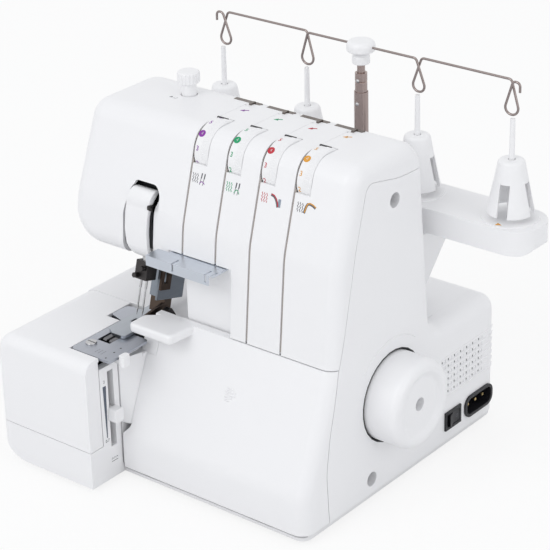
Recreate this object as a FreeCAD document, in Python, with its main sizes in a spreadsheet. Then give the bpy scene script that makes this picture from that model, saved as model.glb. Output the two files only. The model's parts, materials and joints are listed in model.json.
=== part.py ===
import FreeCAD, Part
import math
import operator
import os
import Sketcher
from FreeCAD import Placement, Rotation, Vector

# Four-thread overlock machine, in millimetres.
# +X is to the operator's right, +Y to the back and +Z up.
# The origin is under the middle of the whole machine, on the table.

SIZES = {
    # main body
    "body_width": 262.0,
    "base_depth": 238.6,
    "block_width": 92.0,
    "block_step": 33.0,
    "block_depth": 95.0,
    "column_width": 138.0,
    "bed_width": 258.0,
    "bed_height": 102.0,
    "hump_height": 103.0,
    "cover_top": 119.0,
    "head_bottom": 152.0,
    "head_reach": 251.5,
    "head_shoulder": 242.4,
    "body_height": 259.6,
    "band_height": 33.0,
    "seam_setback": 36.0,
    "kink_setback": 43.0,
    "kink_height": 191.0,
    "crown_setback": 63.0,
    "top_depth": 141.0,
    "column_depth": 155.0,
    "wall": 3.0,
    "seam_gap": 0.4,
    "door_gap": 0.6,
    # edge radii of the casing
    "band_round": 30.0,
    "seam_round": 20.0,
    "kink_round": 60.0,
    "crown_round": 17.0,
    "rear_round": 24.0,
    "hump_fillet": 14.0,
    "hump_round": 14.0,
    "side_round": 11.0,
    "head_round": 15.0,
    "chin_round": 26.0,
    "block_round": 25.0,
    "block_top_round": 16.0,
    "block_edge": 9.0,
    "bed_edge": 8.0,
    # splits between the covers
    "rear_split": 128.0,
    "rear_top": 233.0,
    "right_depth": 16.0,
    "plinth_height": 30.0,
    # seam between the door, the covers and the right side
    "seam_low_setback": 28.6,
    "seam_waist_setback": 25.9,
    "seam_waist_height": 44.5,
    "seam_hip_setback": 30.4,
    "seam_hip_height": 72.4,
    "seam_top_setback": 42.7,
    "seam_neck_setback": 61.4,
    "seam_neck_height": 201.7,
    "seam_crown_setback": 75.0,
    "seam_crown_height": 246.5,
    "seam_rear_setback": 112.0,
    "seam_rear_height": 238.5,
    # swing-out cloth plate and the panel beside it
    "swing_inset": 4.0,
    "swing_pin_radius": 2.0,
    "swing_pin_drop": 10.0,
    "panel_front": 19.0,
    "shoulder_setback": 21.0,
    "shoulder_width": 7.0,
    "cheek_front": 1.7,
    "cheek_low": 41.0,
    "cheek_high": 92.0,
    "cheek_width": 6.6,
    "cheek_wall": 2.0,
    "panel_groove_setback": 0.9,
    "panel_groove_width": 1.6,
    "panel_groove_depth": 4.0,
    # base pan and feet
    "pan_thickness": 4.0,
    "pan_inset": 1.5,
    "pan_rebate_height": 1.4,
    "pan_rebate_depth": 6.2,
    "foot_height": 4.0,
    "foot_radius": 9.0,
    "foot_inset": 22.0,
    # front door
    "door_curve": 6.1,
    "door_side_gap": 1.5,
    "side_relief_setback": 14.0,
    "side_relief_height": 15.0,
    "notch_low": 91.0,
    "notch_high": 101.5,
    "notch_width": 15.1,
    "corner_web": 5.0,
    "bar_width": 39.5,
    "bar_height": 8.0,
    "bar_reach": 12.3,
    "bar_rear": 29.5,
    "bar_edge": 2.4,
    "bar_corner": 4.0,
    "pin_radius": 1.0,
    "bead_radius": 3.2,
    "pin_play": 0.1,
    "lug_width": 8.0,
    "lug_inset": 26.0,
    "lug_eye_radius": 1.75,
    "lug_post_setback": 8.4,
    "lug_post": 3.0,
    "lug_skin": 1.15,
    "door_slide": 8.0,
    # recess beside the sewing space
    "recess_right": 91.0,
    "recess_setback": 43.4,
    "guide_height": 170.0,
    # thread slots, dials and dial windows
    "slot_pitch": 30.4,
    "slot_first": 47.6,
    "slot_width": 1.8,
    "slot_depth": 2.0,
    "slot_rear": 117.0,
    "window_width": 13.5,
    "window_bottom": 235.4,
    "window_rear": 87.5,
    "dial_radius": 21.4,
    "dial_width": 12.6,
    "dial_setback": 78.9,
    "dial_height": 239.7,
    "dial_shaft_radius": 4.0,
    "dial_play": 0.1,
    "dial_relief": 0.4,
    # thread guides
    "guide_strip_width": 24.0,
    "guide_strip_depth": 4.0,
    "guide_strip_setback": 121.0,
    "guide_plate_right": 98.0,
    "guide_plate_width": 62.0,
    "guide_plate_depth": 18.0,
    "guide_lip": 8.0,
    "sheet_thickness": 1.2,
    # thread lever cover on the head
    "shield_left": 198.0,
    "shield_width": 25.0,
    "shield_bottom": 155.0,
    "shield_height": 58.0,
    "shield_bulge": 6.0,
    "shield_play": 4.0,
    "take_up_setback": 75.0,
    "take_up_height": 186.0,
    "take_up_right": 169.8,
    "take_up_thickness": 1.7,
    # leaning needle bar and presser bar
    "bar_lean": 16.0,
    "bar_right": 183.0,
    "needle_setback": 38.0,
    "presser_setback": 66.5,
    "needle_bar_radius": 3.5,
    "presser_bar_radius": 4.0,
    "bar_play": 0.08,
    "needle_radius": 0.6,
    "needle_tip": 7.0,
    "needle_pitch": 5.2,
    "clamp_screw_radius": 1.9,
    "clamp_screw_length": 4.5,
    "clamp_height": 14.0,
    "clamp_start": 35.0,
    "clamp_half": 5.6,
    "knob_across": 186.3,
    "knob_setback": 109.5,
    "knob_radius": 8.4,
    "knob_grip": 8.5,
    "collar_radius": 5.6,
    "collar_height": 19.1,
    "knob_start": 250.0,
    "knob_flutes": 18,
    "flute_radius": 1.1,
    "knob_stud_radius": 3.0,
    "knob_stud_length": 6.0,
    "holder_half": 6.5,
    "holder_plate": 2.0,
    "presser_foot_start": 17.0,
    "presser_bar_length": 122.0,
    "lifter_setback": 112.0,
    "lifter_height": 172.0,
    "lifter_pin_radius": 2.5,
    "lifter_width": 9.0,
    # sewing plate and what works round it
    "plate_thickness": 2.0,
    "plate_left": 198.0,
    "plate_right": 160.0,
    "plate_front": 18.0,
    "plate_rear": 58.0,
    "tongue_left": 211.0,
    "tongue_front": 36.0,
    "sole_thickness": 2.4,
    "sole_clearance": 0.3,
    "sole_left": 11.0,
    "sole_right": 8.5,
    "sole_front": 13.5,
    "sole_rear": 68.0,
    "arm_thickness": 2.4,
    # inner frame
    "frame_plate": 6.0,
    "frame_right": 22.0,
    "frame_front": 48.0,
    "arm_low": 170.0,
    "arm_high": 200.0,
    # handwheel and drive
    "wheel_setback": 103.4,
    "wheel_height": 73.6,
    "wheel_radius": 33.5,
    "wheel_reach": 27.0,
    "wheel_seat": 6.0,
    "wheel_play": 1.0,
    "shaft_radius": 5.0,
    "shaft_play": 0.05,
    "bush_radius": 8.0,
    "wheel_bore": 5.0,
    "motor_shaft_radius": 3.0,
    "pulley_radius": 24.0,
    "pulley_width": 10.0,
    "pulley_right": 62.0,
    "motor_setback": 194.0,
    "motor_height": 52.0,
    "motor_radius": 29.0,
    "motor_length": 86.0,
    "motor_pulley_radius": 8.0,
    "belt_thickness": 2.0,
    "belt_play": 0.3,
    # right side: switch, inlet, vents and screws
    "switch_setback": 179.7,
    "switch_height": 20.6,
    "switch_length": 20.4,
    "switch_width": 15.0,
    "inlet_setback": 214.0,
    "inlet_height": 20.2,
    "inlet_length": 37.0,
    "inlet_width": 18.0,
    "vent_setback": 168.0,
    "vent_height": 45.2,
    "vent_pitch": 8.0,
    "vent_rise": 5.35,
    "vent_length": 5.4,
    "vent_width": 2.2,
    "screw_high_setback": 106.3,
    "screw_high": 223.9,
    "screw_low_setback": 78.4,
    "screw_low": 15.8,
    "screw_hole_radius": 5.6,
    "screw_radius": 4.2,
    "screw_shank_radius": 2.0,
    "cup_depth": 12.0,
    "bezel_rim": 1.5,
    "bezel_height": 1.6,
    "rocker_tilt": 8.0,
    "axle_radius": 1.2,
    "fitting_play": 0.1,
    "inlet_pin_pitch": 10.0,
    "inlet_pin_radius": 1.2,
    # spool stand
    "stand_setback": 158.0,
    "stand_depth": 44.0,
    "stand_top": 196.5,
    "stand_thickness": 19.0,
    "tray_length": 311.6,
    "mast_right": 83.0,
    "neck_half": 70.0,
    "neck_foot_half": 40.0,
    "pin_near": 49.6,
    "pin_far": 129.4,
    "spool_pin_height": 74.0,
    "spool_pin_root": 12.0,
    "spool_pin_radius": 2.6,
    "spool_pin_tip": 1.8,
    "cone_height": 43.2,
    "cone_base_radius": 17.5,
    "cone_top_radius": 10.7,
    "cone_wall": 2.0,
    "cone_slot_width": 8.0,
    "cone_turn": 31.0,
    "cone_seat_radius": 20.5,
    "cone_seat_height": 1.0,
    "cone_slot_height": 27.0,
    # telescopic mast and thread tree
    "mast_radius": 5.2,
    "mast_top": 262.6,
    "mast_foot": 150.0,
    "tube_wall": 0.6,
    "tube_play": 0.1,
    "middle_wall": 1.5,
    "middle_show": 14.4,
    "rod_show": 7.0,
    "cap_radius": 10.5,
    "cap_collar_radius": 6.5,
    "cap_height": 17.5,
    "tree_height": 297.5,
    "wire_radius": 0.9,
    "eye_drop": 25.0,
    "eye_width": 12.0,
    "eye_far": 127.4,
    "hook_reach": 7.2,
    "hook_drop": 7.0,
    # knives and loopers
    "knife_right": 169.2,
    "knife_thickness": 2.8,
    "looper_shaft_radius": 3.5,
    "lower_looper_right": 178.0,
    "lower_looper_height": 32.0,
    "upper_looper_right": 152.0,
    "upper_looper_height": 34.0,
    # feed adjuster
    "slider_setback": 8.0,
    "slider_low": 26.0,
    "slider_high": 88.0,
    "slider_rest": 53.0,
    "slider_slot": 6.0,
    "panel_top": 92.5,
    "panel_thickness": 6.0,
}

doc = FreeCAD.newDocument("serger")
sheet = doc.addObject("Spreadsheet::Sheet", "sizes")
for row, (word, number) in enumerate(SIZES.items(), start=1):
    sheet.set(f"A{row}", word)
    sheet.set(f"B{row}", str(number))
    sheet.setAlias(f"B{row}", word)
doc.recompute()

SIGNS = {"+": operator.add, "-": operator.sub, "*": operator.mul, "/": operator.truediv}


# A length that knows both its number and the sheet formula that gives it.
class Size:
    def __init__(self, value, text):
        self.value = value
        self.text = text

    def __add__(self, other):
        return combine(self, "+", other)

    def __radd__(self, other):
        return combine(other, "+", self)

    def __sub__(self, other):
        return combine(self, "-", other)

    def __rsub__(self, other):
        return combine(other, "-", self)

    def __mul__(self, other):
        return combine(self, "*", other)

    def __rmul__(self, other):
        return combine(other, "*", self)

    def __truediv__(self, other):
        return combine(self, "/", other)

    def __neg__(self):
        return combine(0.0, "-", self)


def as_size(given):
    if isinstance(given, Size):
        return given
    return Size(float(given), f"({float(given)!r})")


def combine(first, sign, second):
    first = as_size(first)
    second = as_size(second)
    return Size(SIGNS[sign](first.value, second.value), f"({first.text} {sign} {second.text})")


class Sheet:
    def __getattr__(self, word):
        return Size(float(sheet.get(word)), f"sizes.{word}")


d = Sheet()
overhang = d.tray_length / 2 - d.mast_right
right_x = (d.body_width - overhang) / 2
front_y = (d.block_step - d.base_depth) / 2


# Places are measured from the machine's right side, from its base front and from the underside of its pan.
def left(distance):
    return right_x - distance


def back(distance):
    return front_y + distance


def up(distance):
    return d.foot_height + distance


# building blocks


def bind(thing, name, size):
    size = as_size(size)
    thing.setExpression(name, size.text)


def move(thing, place, turn=None):
    place = [as_size(part) for part in place]
    start = Vector(*[part.value for part in place])
    thing.Placement = Placement(start, turn or Rotation())
    for letter, part in zip("xyz", place):
        bind(thing, f"Placement.Base.{letter}", part)
    return thing


TURNS = {
    "x": Rotation(Vector(0, 1, 0), 90),
    "y": Rotation(Vector(1, 0, 0), -90),
    "z": Rotation(),
}


def block(name, low, high):
    box = doc.addObject("Part::Box", name)
    for side, start, end in zip(("Length", "Width", "Height"), low, high):
        bind(box, side, as_size(end) - start)
    return move(box, low)


def rod(name, axis, start, radius, length):
    cylinder = doc.addObject("Part::Cylinder", name)
    bind(cylinder, "Radius", radius)
    bind(cylinder, "Height", length)
    return move(cylinder, start, TURNS[axis])


def taper(name, start, low_radius, high_radius, length, axis="z"):
    cone = doc.addObject("Part::Cone", name)
    bind(cone, "Radius1", low_radius)
    bind(cone, "Radius2", high_radius)
    bind(cone, "Height", length)
    return move(cone, start, TURNS[axis])


def origin_plane(body, role):
    return [item for item in body.Origin.OriginFeatures if item.Role == role][0]


# A closed outline of straight lines. A corner with a third value is rounded to that radius.
def outline(body, name, plane, corners):
    sketch = body.newObject("Sketcher::SketchObject", name)
    sketch.AttachmentSupport = [(origin_plane(body, f"{plane}_Plane"), "")]
    sketch.MapMode = "FlatFace"
    places = [(as_size(corner[0]), as_size(corner[1])) for corner in corners]
    points = [Vector(across.value, along.value, 0) for across, along in places]
    count = len(points)
    for index in range(count):
        sketch.addGeometry(Part.LineSegment(points[index], points[(index + 1) % count]))
    for index in range(count):
        sketch.addConstraint(Sketcher.Constraint("Coincident", index, 2, (index + 1) % count, 1))
    for index, place in enumerate(places):
        for kind, size in zip(("DistanceX", "DistanceY"), place):
            rule = sketch.addConstraint(Sketcher.Constraint(kind, -1, 1, index, 1, size.value))
            bind(sketch, f"Constraints[{rule}]", size)
    for index, corner in enumerate(corners):
        if len(corner) == 3:
            radius = as_size(corner[2])
            arc = sketch.GeometryCount
            sketch.fillet((index - 1) % count, 2, radius.value, True, True)
            rule = sketch.addConstraint(Sketcher.Constraint("Radius", arc, radius.value))
            bind(sketch, f"Constraints[{rule}]", radius)
    return sketch


# An outline drawn in a view plane and given a thickness between two places.
def profile(name, plane, corners, start, end):
    body = doc.addObject("PartDesign::Body", name)
    sketch = outline(body, f"{name}_outline", plane, corners)
    pad = body.newObject("PartDesign::Pad", f"{name}_pad")
    pad.Profile = sketch
    pad.Reversed = plane == "XZ"
    bind(pad, "Length", as_size(end) - start)
    place = {"YZ": (start, 0, 0), "XZ": (0, start, 0), "XY": (0, 0, start)}[plane]
    move(body, place)
    return body


# A form with straight sides between an outline at one height and an outline at another.
def ruled(name, low, low_corners, high, high_corners):
    body = doc.addObject("PartDesign::Body", name)
    first = outline(body, f"{name}_low", "XY", low_corners)
    second = outline(body, f"{name}_high", "XY", high_corners)
    bind(second, "AttachmentOffset.Base.z", high - low)
    loft = body.newObject("PartDesign::AdditiveLoft", f"{name}_loft")
    loft.Profile = first
    loft.Sections = [second]
    loft.Ruled = True
    return move(body, (0, 0, up(low)))


# An outline of radii and heights turned about an upright line, or about a line along X.
def turned(name, axis, place, corners, turn=None):
    body = doc.addObject("PartDesign::Body", name)
    if axis == "x":
        corners = [(corner[1], corner[0], *corner[2:]) for corner in corners]
    sketch = outline(body, f"{name}_outline", "XZ", corners)
    spin = body.newObject("PartDesign::Revolution", f"{name}_spin")
    spin.Profile = sketch
    spin.ReferenceAxis = (sketch, ["H_Axis" if axis == "x" else "V_Axis"])
    spin.Angle = 360
    return move(body, place, turn)


def join(name, *pieces):
    union = doc.addObject("Part::MultiFuse", name)
    union.Shapes = list(pieces)
    union.Refine = False
    return union


# Takes the tools away one after another.
def cut(name, base, *tools):
    for number, tool in enumerate(tools, start=1):
        step = name if number == len(tools) else f"{name}_step_{number}"
        result = doc.addObject("Part::Cut", step)
        result.Base = base
        result.Tool = tool
        result.Refine = False
        base = result
    return base


def common(name, *pieces):
    shared = doc.addObject("Part::MultiCommon", name)
    shared.Shapes = list(pieces)
    shared.Refine = False
    return shared


def group(name, *pieces):
    several = doc.addObject("Part::Compound", name)
    several.Links = list(pieces)
    return several


def edges_of(shape, pick):
    return [number for number, edge in enumerate(shape.Edges, start=1) if pick(edge)]


def soften(name, base, radius, pick):
    doc.recompute()
    result = doc.addObject("Part::Fillet", name)
    result.Base = base
    size = as_size(radius).value
    result.Edges = [(number, size, size) for number in edges_of(base.Shape, pick)]
    return result


def soften_body(body, name, radius, pick):
    doc.recompute()
    tip = body.Tip
    fillet = body.newObject("PartDesign::Fillet", name)
    numbers = edges_of(tip.Shape, pick)
    fillet.Base = (tip, [f"Edge{number}" for number in numbers])
    bind(fillet, "Radius", radius)
    return body


# True where every point of an edge lies on a plane square to one axis.
def on_plane(edge, axis, place):
    place = as_size(place).value
    spots = [edge.valueAt(edge.FirstParameter), edge.valueAt(edge.LastParameter), edge.CenterOfMass]
    return all(abs(getattr(spot, axis) - place) < 0.01 for spot in spots)


def runs_along(edge, axis):
    ends = edge.valueAt(edge.LastParameter) - edge.valueAt(edge.FirstParameter)
    return abs(abs(getattr(ends, axis)) - edge.Length) < 0.001


nodes = []


def node(thing, label):
    thing.Label = label
    nodes.append(thing)
    return thing


# casing


# The side view of the column, the front and the motor hump, drawn in by a distance.
def side_corners(inset):
    bottom = up(d.pan_thickness)
    return [
        (back(inset), bottom),
        (back(inset), up(d.band_height), d.band_round - inset),
        (back(d.seam_setback + inset), up(d.cover_top), d.seam_round - inset),
        (back(d.kink_setback + inset), up(d.kink_height), d.kink_round - inset),
        (back(d.crown_setback + inset), up(d.body_height - inset), d.crown_round - inset),
        (back(d.top_depth - inset), up(d.body_height - inset), d.rear_round - inset),
        (back(d.column_depth - inset), up(d.hump_height - inset), d.hump_fillet + inset),
        (back(d.base_depth - inset), up(d.hump_height - inset), d.hump_round - inset),
        (back(d.base_depth - inset), bottom),
    ]


def column_form(name, inset):
    form = profile(name, "YZ", side_corners(inset), left(d.column_width - inset), left(inset))
    bottom = up(d.pan_thickness).value
    face = (d.column_width - inset * 2).value

    def right_edge(edge):
        return on_plane(edge, "x", face) and not on_plane(edge, "z", bottom)

    return soften_body(form, f"{name}_edges", d.side_round - inset, right_edge)


def head_form(name, inset):
    rear_slope = (d.column_depth - d.top_depth) / (d.body_height - d.hump_height)
    rear_foot = d.top_depth + rear_slope * (d.body_height - d.head_bottom)
    front_slope = (d.kink_setback - d.seam_setback) / (d.kink_height - d.cover_top)
    front_foot = d.seam_setback + front_slope * (d.head_bottom - d.cover_top)
    side = profile(f"{name}_side", "YZ", [
        (back(front_foot + inset), up(d.head_bottom + inset)),
        (back(d.kink_setback + inset), up(d.kink_height), d.kink_round - inset),
        (back(d.crown_setback + inset), up(d.body_height - inset), d.crown_round - inset),
        (back(d.top_depth - inset), up(d.body_height - inset), d.rear_round - inset),
        (back(rear_foot - inset), up(d.head_bottom + inset)),
    ], left(d.head_reach * 1.1), left(d.column_width - d.right_depth))
    front = profile(f"{name}_front", "XZ", [
        (left(d.column_width - d.right_depth), up(d.head_bottom + inset)),
        (left(d.head_reach - inset), up(d.head_bottom + inset), d.chin_round - inset),
        (left(d.head_shoulder - inset), up(d.body_height + inset)),
        (left(d.column_width - d.right_depth), up(d.body_height + inset)),
    ], back(0), back(d.base_depth))
    both = common(f"{name}_both", side, front)
    end = left(d.column_width - d.right_depth).value

    def outer_edge(edge):
        if edge.CenterOfMass.x > end - 0.01 or runs_along(edge, "y"):
            return False
        middle = edge.CenterOfMass
        low = middle.z < up(d.head_bottom + inset).value + 0.01
        return low or middle.x < left(d.head_shoulder - d.wall).value

    return soften(name, both, d.head_round - inset, outer_edge)


def casing(name, inset):
    return join(name, column_form(f"{name}_column", inset), head_form(f"{name}_head", inset))


def seam_corners(shift):
    return [
        (back(d.seam_low_setback - shift), up(0)),
        (back(d.seam_waist_setback - shift), up(d.seam_waist_height), d.kink_round),
        (back(d.seam_hip_setback - shift), up(d.seam_hip_height), d.kink_round),
        (back(d.seam_top_setback - shift), up(d.cover_top), d.kink_round),
        (back(d.seam_neck_setback - shift), up(d.seam_neck_height), d.kink_round),
        (back(d.seam_crown_setback - shift), up(d.seam_crown_height + shift), d.bed_edge),
        (back(d.seam_rear_setback - shift), up(d.seam_rear_height + shift), d.kink_round),
        (back(d.base_depth * 1.2), up(d.rear_top + shift)),
        (back(d.base_depth * 1.2), up(0)),
    ]


def right_zone(name, shift):
    return profile(name, "YZ", seam_corners(shift), left(d.right_depth + shift), left(-d.right_depth))


def rear_zone(name, shift):
    return block(
        name,
        (left(d.body_width * 1.2), back(d.rear_split - shift), up(0)),
        (left(-d.right_depth), back(d.base_depth * 1.2), up(d.rear_top + shift)),
    )


def slot_place(number):
    return d.slot_first + d.slot_pitch * number


# A cutter that follows the front and the top of the cover at one depth.
def thread_slot(number, foot):
    depth = d.slot_depth
    lean = (d.kink_setback - d.seam_setback) / (d.kink_height - d.cover_top)
    start = slot_place(number)
    return profile(f"thread_slot_{number}", "YZ", [
        (back(d.seam_setback + lean * (foot - d.cover_top) + depth), up(foot)),
        (back(d.kink_setback + depth), up(d.kink_height), d.kink_round - depth),
        (back(d.crown_setback + depth), up(d.body_height - depth), d.crown_round - depth),
        (back(d.slot_rear), up(d.body_height - depth)),
        (back(d.slot_rear), up(d.body_height * 1.05)),
        (back(0), up(d.body_height * 1.05)),
        (back(0), up(foot)),
    ], left(start + d.slot_width / 2), left(start - d.slot_width / 2))


def dial_window(number):
    start = slot_place(number)
    return block(
        f"dial_window_{number}",
        (left(start), back(d.kink_setback), up(d.window_bottom)),
        (left(start - d.window_width), back(d.window_rear), up(d.body_height * 1.05)),
    )


def dial_relief(number):
    place = (left(slot_place(number)), back(d.dial_setback), up(d.dial_height))
    return rod(f"dial_relief_{number}", "x", place, d.dial_radius + d.dial_relief, d.window_width)


def guide_seat(number):
    right = slot_place(number) + d.slot_pitch * 0.5
    return block(
        f"guide_seat_{number}",
        (left(right), back(d.guide_strip_setback), up(d.body_height - d.sheet_thickness)),
        (
            left(right - d.guide_strip_width),
            back(d.guide_strip_setback + d.guide_strip_depth),
            up(d.body_height * 1.05),
        ),
    )


def side_recess():
    return profile("side_recess", "XY", [
        (left(d.column_width * 1.1), back(0)),
        (left(d.column_width * 1.1), back(d.recess_setback)),
        (left(d.recess_right + 3), back(d.recess_setback), 5),
        (left(d.recess_right - 6), back(0)),
    ], up(0), up(d.guide_height))


def shield_opening(name, depth):
    edge = d.shield_play
    return profile(name, "XZ", [
        (left(d.shield_left + edge), up(d.head_bottom - d.wall)),
        (left(d.shield_left + edge), up(d.shield_bottom + d.shield_height), 8),
        (left(d.shield_left - d.shield_width - edge), up(d.shield_bottom + d.shield_height), 8),
        (left(d.shield_left - d.shield_width - edge), up(d.head_bottom - d.wall)),
    ], back(0), back(depth))


def leaning():
    return Rotation(Vector(1, 0, 0), -d.bar_lean.value)


# A cylinder along the lean of the bars, measured from the sewing plate.
def bar_rod(name, setback, start, radius, length, aside=0):
    lean = math.radians(d.bar_lean.value)
    place = (
        left(d.bar_right - aside),
        back(setback) + as_size(start) * math.sin(lean),
        up(d.bed_height) + as_size(start) * math.cos(lean),
    )
    cylinder = doc.addObject("Part::Cylinder", name)
    bind(cylinder, "Radius", radius)
    bind(cylinder, "Height", length)
    return move(cylinder, place, leaning())


def lower_zone():
    return profile("lower_zone", "YZ", [
        (back(-d.block_step), up(-d.foot_height)),
        (back(-d.block_step), up(d.cover_top + d.seam_gap)),
        (back(d.recess_setback + d.wall), up(d.cover_top + d.seam_gap)),
        (back(d.recess_setback + d.wall), up(d.bed_height + d.seam_gap)),
        (back(d.base_depth * 1.2), up(d.bed_height + d.seam_gap)),
        (back(d.base_depth * 1.2), up(-d.foot_height)),
    ], left(d.body_width), left(-d.right_depth))


# A second skin behind the recess, so that the set-back front keeps its wall.
def recess_panel():
    return block(
        "recess_panel",
        (left(d.column_width), back(d.seam_setback), up(d.cover_top + d.seam_gap)),
        (left(d.recess_right - 7), back(d.recess_setback + d.wall), up(d.guide_height + d.wall)),
    )


# The set-back front carried on behind the door's upper edge.
def recess_skirt():
    return block(
        "recess_skirt",
        (left(d.column_width), back(d.recess_setback), up(d.cover_top - d.bar_height)),
        (left(d.recess_right + d.wall), back(d.recess_setback + d.wall), up(d.cover_top + d.seam_gap)),
    )


def lifter_slot():
    return block(
        "lifter_slot",
        (left(d.bar_right + 6.5), back(d.lifter_setback - 10), up(d.head_bottom - 2)),
        (left(d.bar_right - 6.5), back(d.base_depth), up(d.lifter_height + 16)),
    )


def upper_cover(outer, inner):
    shell = cut(
        "upper_shell", outer, inner,
        right_zone("upper_right_cut", d.seam_gap), rear_zone("upper_rear_cut", d.seam_gap), lower_zone(),
    )
    skin = common("recess_skin", recess_panel(), outer)
    shell = join("upper_shell_recess", shell, skin, recess_skirt())
    openings = [side_recess(), shield_opening("shield_slot", d.crown_setback), lifter_slot()]
    for number in range(4):
        foot = d.cover_top if number < 2 else d.guide_height
        openings += [thread_slot(number, foot), dial_window(number), dial_relief(number), guide_seat(number)]
    openings.append(rod(
        "knob_hole", "z", (left(d.knob_across), back(d.knob_setback), up(d.knob_start)),
        d.collar_radius + d.door_gap, d.collar_height,
    ))
    openings.append(block(
        "bar_opening",
        (left(d.bar_right + 9), back(d.needle_setback + 4), up(d.head_bottom - 2)),
        (left(d.bar_right - 9), back(d.presser_setback + 26), up(d.head_bottom + d.wall + 1)),
    ))
    node(cut("upper_cover_body", shell, *openings), "upper_cover")


# The motor hump carried on behind the bed.
def rear_left_form(name, inset):
    bottom = up(d.pan_thickness)
    form = profile(name, "YZ", [
        (back(d.rear_split), bottom),
        (back(d.rear_split), up(d.hump_height - inset)),
        (back(d.base_depth - inset), up(d.hump_height - inset), d.hump_round - inset),
        (back(d.base_depth - inset), bottom),
    ], left(d.bed_width - inset), left(d.column_width - d.wall / 2 - inset))

    def left_edge(edge):
        low = on_plane(edge, "z", bottom)
        start = on_plane(edge, "y", back(d.rear_split))
        return on_plane(edge, "x", 0) and not low and not start

    return soften_body(form, f"{name}_edges", d.bed_edge - inset, left_edge)


def rear_cover(outer, inner):
    part = common("rear_part", outer, rear_zone("rear_keep", 0))
    shell = cut("rear_shell", part, inner, right_zone("rear_right_cut", d.seam_gap))
    whole = join("rear_whole", shell, rear_left_form("rear_left", as_size(0)))
    room = rear_left_form("rear_left_inside", d.wall)
    node(cut("rear_cover_body", whole, room, lifter_slot()), "rear_cover")


def screw_cup(number, setback, height):
    place = (left(d.cup_depth), back(setback), up(height))
    return rod(f"screw_cup_{number}", "x", place, d.screw_hole_radius + d.wall * 0.7, d.cup_depth - 0.5)


def screw_bore(number, setback, height):
    wide = rod(
        f"screw_bore_wide_{number}", "x", (left(d.cup_depth - d.wall), back(setback), up(height)),
        d.screw_hole_radius, d.cup_depth,
    )
    narrow = rod(
        f"screw_bore_narrow_{number}", "x", (left(d.cup_depth * 2), back(setback), up(height)),
        d.screw_shank_radius, d.cup_depth * 2,
    )
    return [wide, narrow]


def screw_places():
    return [(d.screw_high_setback, d.screw_high), (d.screw_low_setback, d.screw_low)]


def vents():
    holes = []
    for row in range(6):
        for column in range(7):
            if column == 0 and row < 4:
                continue
            setback = d.vent_setback + d.vent_pitch * column
            height = d.vent_height + d.vent_rise * row
            holes.append(block(
                f"vent_{row}_{column}",
                (left(d.wall * 2), back(setback - d.vent_length / 2), up(height - d.vent_width / 2)),
                (left(-1), back(setback + d.vent_length / 2), up(height + d.vent_width / 2)),
            ))
    return group("vent_holes", *holes)


def right_cover(outer, inner):
    part = common("right_part", outer, right_zone("right_keep", as_size(0)))
    shell = cut("right_shell", part, inner)
    cups = [screw_cup(number, *place) for number, place in enumerate(screw_places())]
    shell = join("right_with_cups", shell, *cups)
    openings = [vents()]
    for number, place in enumerate(screw_places()):
        openings += screw_bore(number, *place)
    openings.append(rod(
        "wheel_hole", "x", (left(d.right_depth), back(d.wheel_setback), up(d.wheel_height)),
        d.wheel_radius + d.wheel_play, d.right_depth * 2,
    ))
    rim = d.bezel_rim - d.fitting_play
    openings.append(block(
        "switch_hole",
        (left(d.wall * 2), back(d.switch_setback - d.switch_length / 2 + rim),
         up(d.switch_height - d.switch_width / 2 + rim)),
        (left(-1), back(d.switch_setback + d.switch_length / 2 - rim),
         up(d.switch_height + d.switch_width / 2 - rim)),
    ))
    openings.append(inlet_outline("inlet_hole", rim, -d.wall * 2, as_size(1)))
    node(cut("right_cover_body", shell, *openings), "right_cover")


def bed_form(name, inset):
    start = d.block_depth - d.block_step + d.seam_gap
    return profile(name, "XZ", [
        (left(d.column_width), up(d.pan_thickness)),
        (left(d.bed_width - inset), up(d.pan_thickness)),
        (left(d.bed_width - inset), up(d.bed_height - inset), d.bed_edge - inset),
        (left(d.column_width), up(d.bed_height - inset)),
    ], back(start + inset), back(d.rear_split - d.seam_gap + inset))


def bed_cover():
    shell = cut("bed_cover_body", bed_form("bed_form", as_size(0)), bed_form("bed_inside", d.wall))
    node(shell, "bed_cover")


def block_right():
    return d.body_width - d.block_width


# The block with its front edges rounded, standing square on the table with its lower left drawn in.
def block_form(name, inset):
    near = left(block_right())
    far = left(d.body_width - inset)
    upright = profile(f"{name}_upright", "XZ", [
        (near, up(-d.block_edge * 2)),
        (far, up(-d.block_edge * 2)),
        (far, up(d.bed_height - inset), d.block_top_round - inset),
        (near, up(d.bed_height - inset)),
    ], back(inset - d.block_step), back(d.block_depth - d.block_step))

    def front_edge(edge):
        ends = on_plane(edge, "x", near) or on_plane(edge, "z", up(-d.block_edge * 2))
        return on_plane(edge, "y", 0) and not ends

    soften_body(upright, f"{name}_edges", d.block_edge - inset, front_edge)
    foot = profile(f"{name}_foot", "XZ", [
        (near, up(inset)),
        (far, up(inset), d.block_round - inset),
        (far, up(d.bed_height)),
        (near, up(d.bed_height)),
    ], back(-d.block_step), back(d.block_depth - d.block_step))
    return common(name, upright, foot)


def block_zone(name, low, high):
    return block(
        name,
        (left(d.body_width * 1.1), back(-d.block_step * 2), up(low)),
        (left(block_right() - 1), back(d.block_depth), up(high)),
    )


def slider_slot():
    middle = back(-d.slider_setback)
    return block(
        "slider_slot",
        (left(block_right() + d.panel_thickness * 1.2), middle - d.slider_slot / 2, up(d.slider_low)),
        (left(block_right() - 1), middle + d.slider_slot / 2, up(d.slider_high)),
    )


# The joint line between the block's side and the machine's own wall.
def panel_groove():
    start = back(d.panel_groove_setback - d.panel_groove_width / 2)
    return block(
        "panel_groove",
        (left(block_right() + d.panel_groove_depth), start, up(d.pan_thickness + d.wall)),
        (left(block_right() - 1), start + d.panel_groove_width, up(d.bed_height)),
    )


def door_face(height):
    return back(d.seam_setback * (height - d.band_height) / (d.cover_top - d.band_height))


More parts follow.
